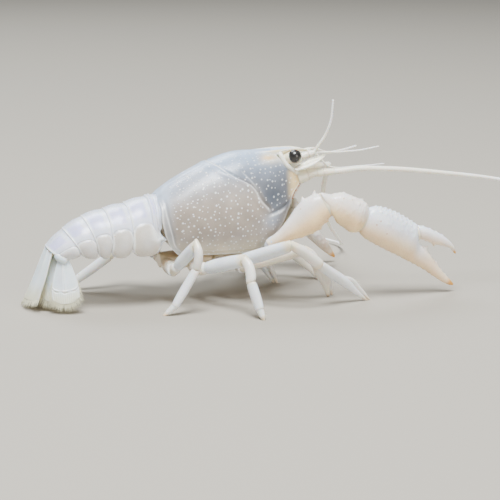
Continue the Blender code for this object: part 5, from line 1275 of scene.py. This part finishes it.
draw = np.random.default_rng(23)
for joints, side, tag, open_out, elbow_share, closed, warm in CLAWS:
    coxa_end, start, elbow, wrist, tip = on_side(joints, side)
    arm, fore, tip_line = unit(elbow - start), unit(wrist - elbow), unit(tip - wrist)
    across_arm, across_fore, across_hand = (
        unit(np.cross(np.cross(run, open_out), run)) for run in (arm, fore, tip_line))
    slant = np.arctan2(-HAND_TIP[1], HAND_TIP[0])
    hand = tip_line * np.cos(slant) + across_hand * np.sin(slant)
    across_hand = across_hand * np.cos(slant) - tip_line * np.sin(slant)
    at_elbow = joint_plane(start, elbow, wrist, elbow_share)
    at_wrist = joint_plane(elbow, wrist, wrist + hand, 0.85)
    arm_node, wrist_node, hand_node, finger_node = (
        f"claw_{part}_{tag}" for part in ("arm", "wrist", "hand", "finger"))

    reach = np.linalg.norm(elbow - start) / ARM_UPPER[-1][0]
    rings = flat_rings(start, arm, across_arm, stretched(ARM_UPPER, reach), stretched(ARM_LOWER, reach),
                       ARM_HALF_THICKNESS, 170, (None, (elbow - at_elbow * HALF_GAP, at_elbow)))
    rings, bump = knobbed(rings, start, arm, reach, ARM_SPINES, 0.55)
    rings, _ = knobbed(rings, start, arm, reach, scattered(60, (6, 17), (-60, 60), 0.07, 0.22))
    rings = capped(rings)
    spines = ramp(np.pad(bump, ((5, 5), (0, 0))), 0.55, 1.0) * 0.75
    add_rings(arm_node, rings, claw_shell, arm_node,
              mix(claw_painted_light(rings, across_arm, 0.3), TIP_YELLOW, spines))
    first = unit(start - coxa_end)
    at_coxa = joint_plane(inner_end(coxa_end, CLAW_INNER, side), coxa_end, start)
    base = coxa_end + first * HALF_GAP
    rings = tube_rings([base, coxa_end + first * 2.2, start + arm, start + arm * 3.2], CLAW_BASE_RADII,
                       rows=40, columns=32, ends=((base, -at_coxa), None))
    add_rings(f"claw_base_{tag}", capped(rings), claw_shell, arm_node, CLAW_BLUE)
    joint_skin(f"claw_coxa_skin_{tag}", coxa_end, at_coxa, 1.35, arm_node)

    reach = np.linalg.norm(wrist - elbow) / WRIST_UPPER[-1][0]
    rings = flat_rings(elbow, fore, across_fore, stretched(WRIST_UPPER, reach), stretched(WRIST_LOWER, reach),
                       WRIST_HALF_THICKNESS, 120,
                       ((elbow + at_elbow * HALF_GAP, -at_elbow), (wrist - at_wrist * HALF_GAP, at_wrist)))
    rings, bump = knobbed(rings, elbow, fore, reach, WRIST_SPINES, 0.5)
    rows = scattered(150, (1, 9.5), (-100, 100), (0.06, 0.16), 0.24)
    rings, _ = knobbed(rings, elbow, fore, reach, rows, 0.3)
    rings = capped(rings)
    spines = ramp(np.pad(bump, ((5, 5), (0, 0))), 0.6, 1.0) * 0.5
    add_rings(wrist_node, rings, claw_shell, wrist_node,
              mix(claw_painted_light(rings, across_fore, 0.35), TIP_YELLOW, spines))
    flat = np.cross(arm, across_arm)
    joint_skin(f"claw_elbow_skin_{tag}", elbow + across_arm * 0.5, at_elbow, 2.7, wrist_node,
               flat, 1.42)
    joint_skin(f"claw_wrist_skin_{tag}", wrist, at_wrist, 2.5, wrist_node, flat, 1.4)

    reach = np.linalg.norm(tip - wrist) / np.hypot(*HAND_TIP)
    upper, lower, finger_upper, finger_lower = (
        stretched(outline, reach) for outline in (HAND_UPPER, HAND_LOWER, FINGER_UPPER, FINGER_LOWER))
    rings = flat_rings(wrist, hand, across_hand, upper, lower, HAND_HALF_THICKNESS, 260,
                       ((wrist + at_wrist * HALF_GAP, -at_wrist), None), 96)
    rows = np.concatenate([HAND_KNOBS, scattered(150, (1.5, 13), (-85, 85), (0.06, 0.15), 0.25)])
    rings, bump = knobbed(rings, wrist, hand, reach, rows, 0.35)
    rings = capped(rings, 0.25)
    run = (rings - wrist) @ hand / reach
    tone = mix(claw_painted_light(rings, across_hand, warm), CLAW_PEACH, ramp(run, 13, 20) * 0.6)
    tone = mix(tone, RIM_WHITE, np.pad(bump, ((5, 5), (0, 0))) * 0.35)
    tone = mix(tone, HORN_ORANGE, ramp(run, 25.2, 27.0))
    add_rings(hand_node, rings, claw_shell, hand_node, tone)

    pivot = (FINGER_PIVOT[0] * reach, FINGER_PIVOT[1])
    finger_upper, finger_lower = (turned(outline, pivot, closed) for outline in (finger_upper, finger_lower))
    palm_end = [wrist + hand * pair[0] + across_hand * pair[1] for pair in (upper[5], upper[6])]
    flat = np.cross(hand, across_hand)
    seat = unit(np.cross(palm_end[1] - palm_end[0], flat))
    rings = flat_rings(wrist, hand, across_hand, finger_upper, finger_lower, FINGER_HALF_THICKNESS, 170,
                       ((palm_end[0] - seat * GAP, seat), None))
    rings, bump = knobbed(rings, wrist, hand, reach, FINGER_KNOBS, 0.3)
    rings = capped(rings, 0.2)
    share = share_along(rings)
    edge = ramp((rings - rings.mean(1, keepdims=True)) @ across_hand, 0.5, 1.3) * ramp(share, 0.2, 0.6) * warm
    tone = mix(claw_painted_light(rings, across_hand, warm), HORN_ORANGE, np.maximum(ramp(share, 0.86, 0.97), edge))
    tone = mix(tone, RIM_WHITE, np.pad(bump, ((5, 5), (0, 0))) * 0.3)
    add_rings(finger_node, rings, claw_shell, finger_node, tone)
    hinge = palm_end[0] * 0.45 + palm_end[1] * 0.55
    joint_skin(f"claw_finger_skin_{tag}", hinge - seat * 0.15, -seat, 1.6, finger_node,
               flat, 1.25)
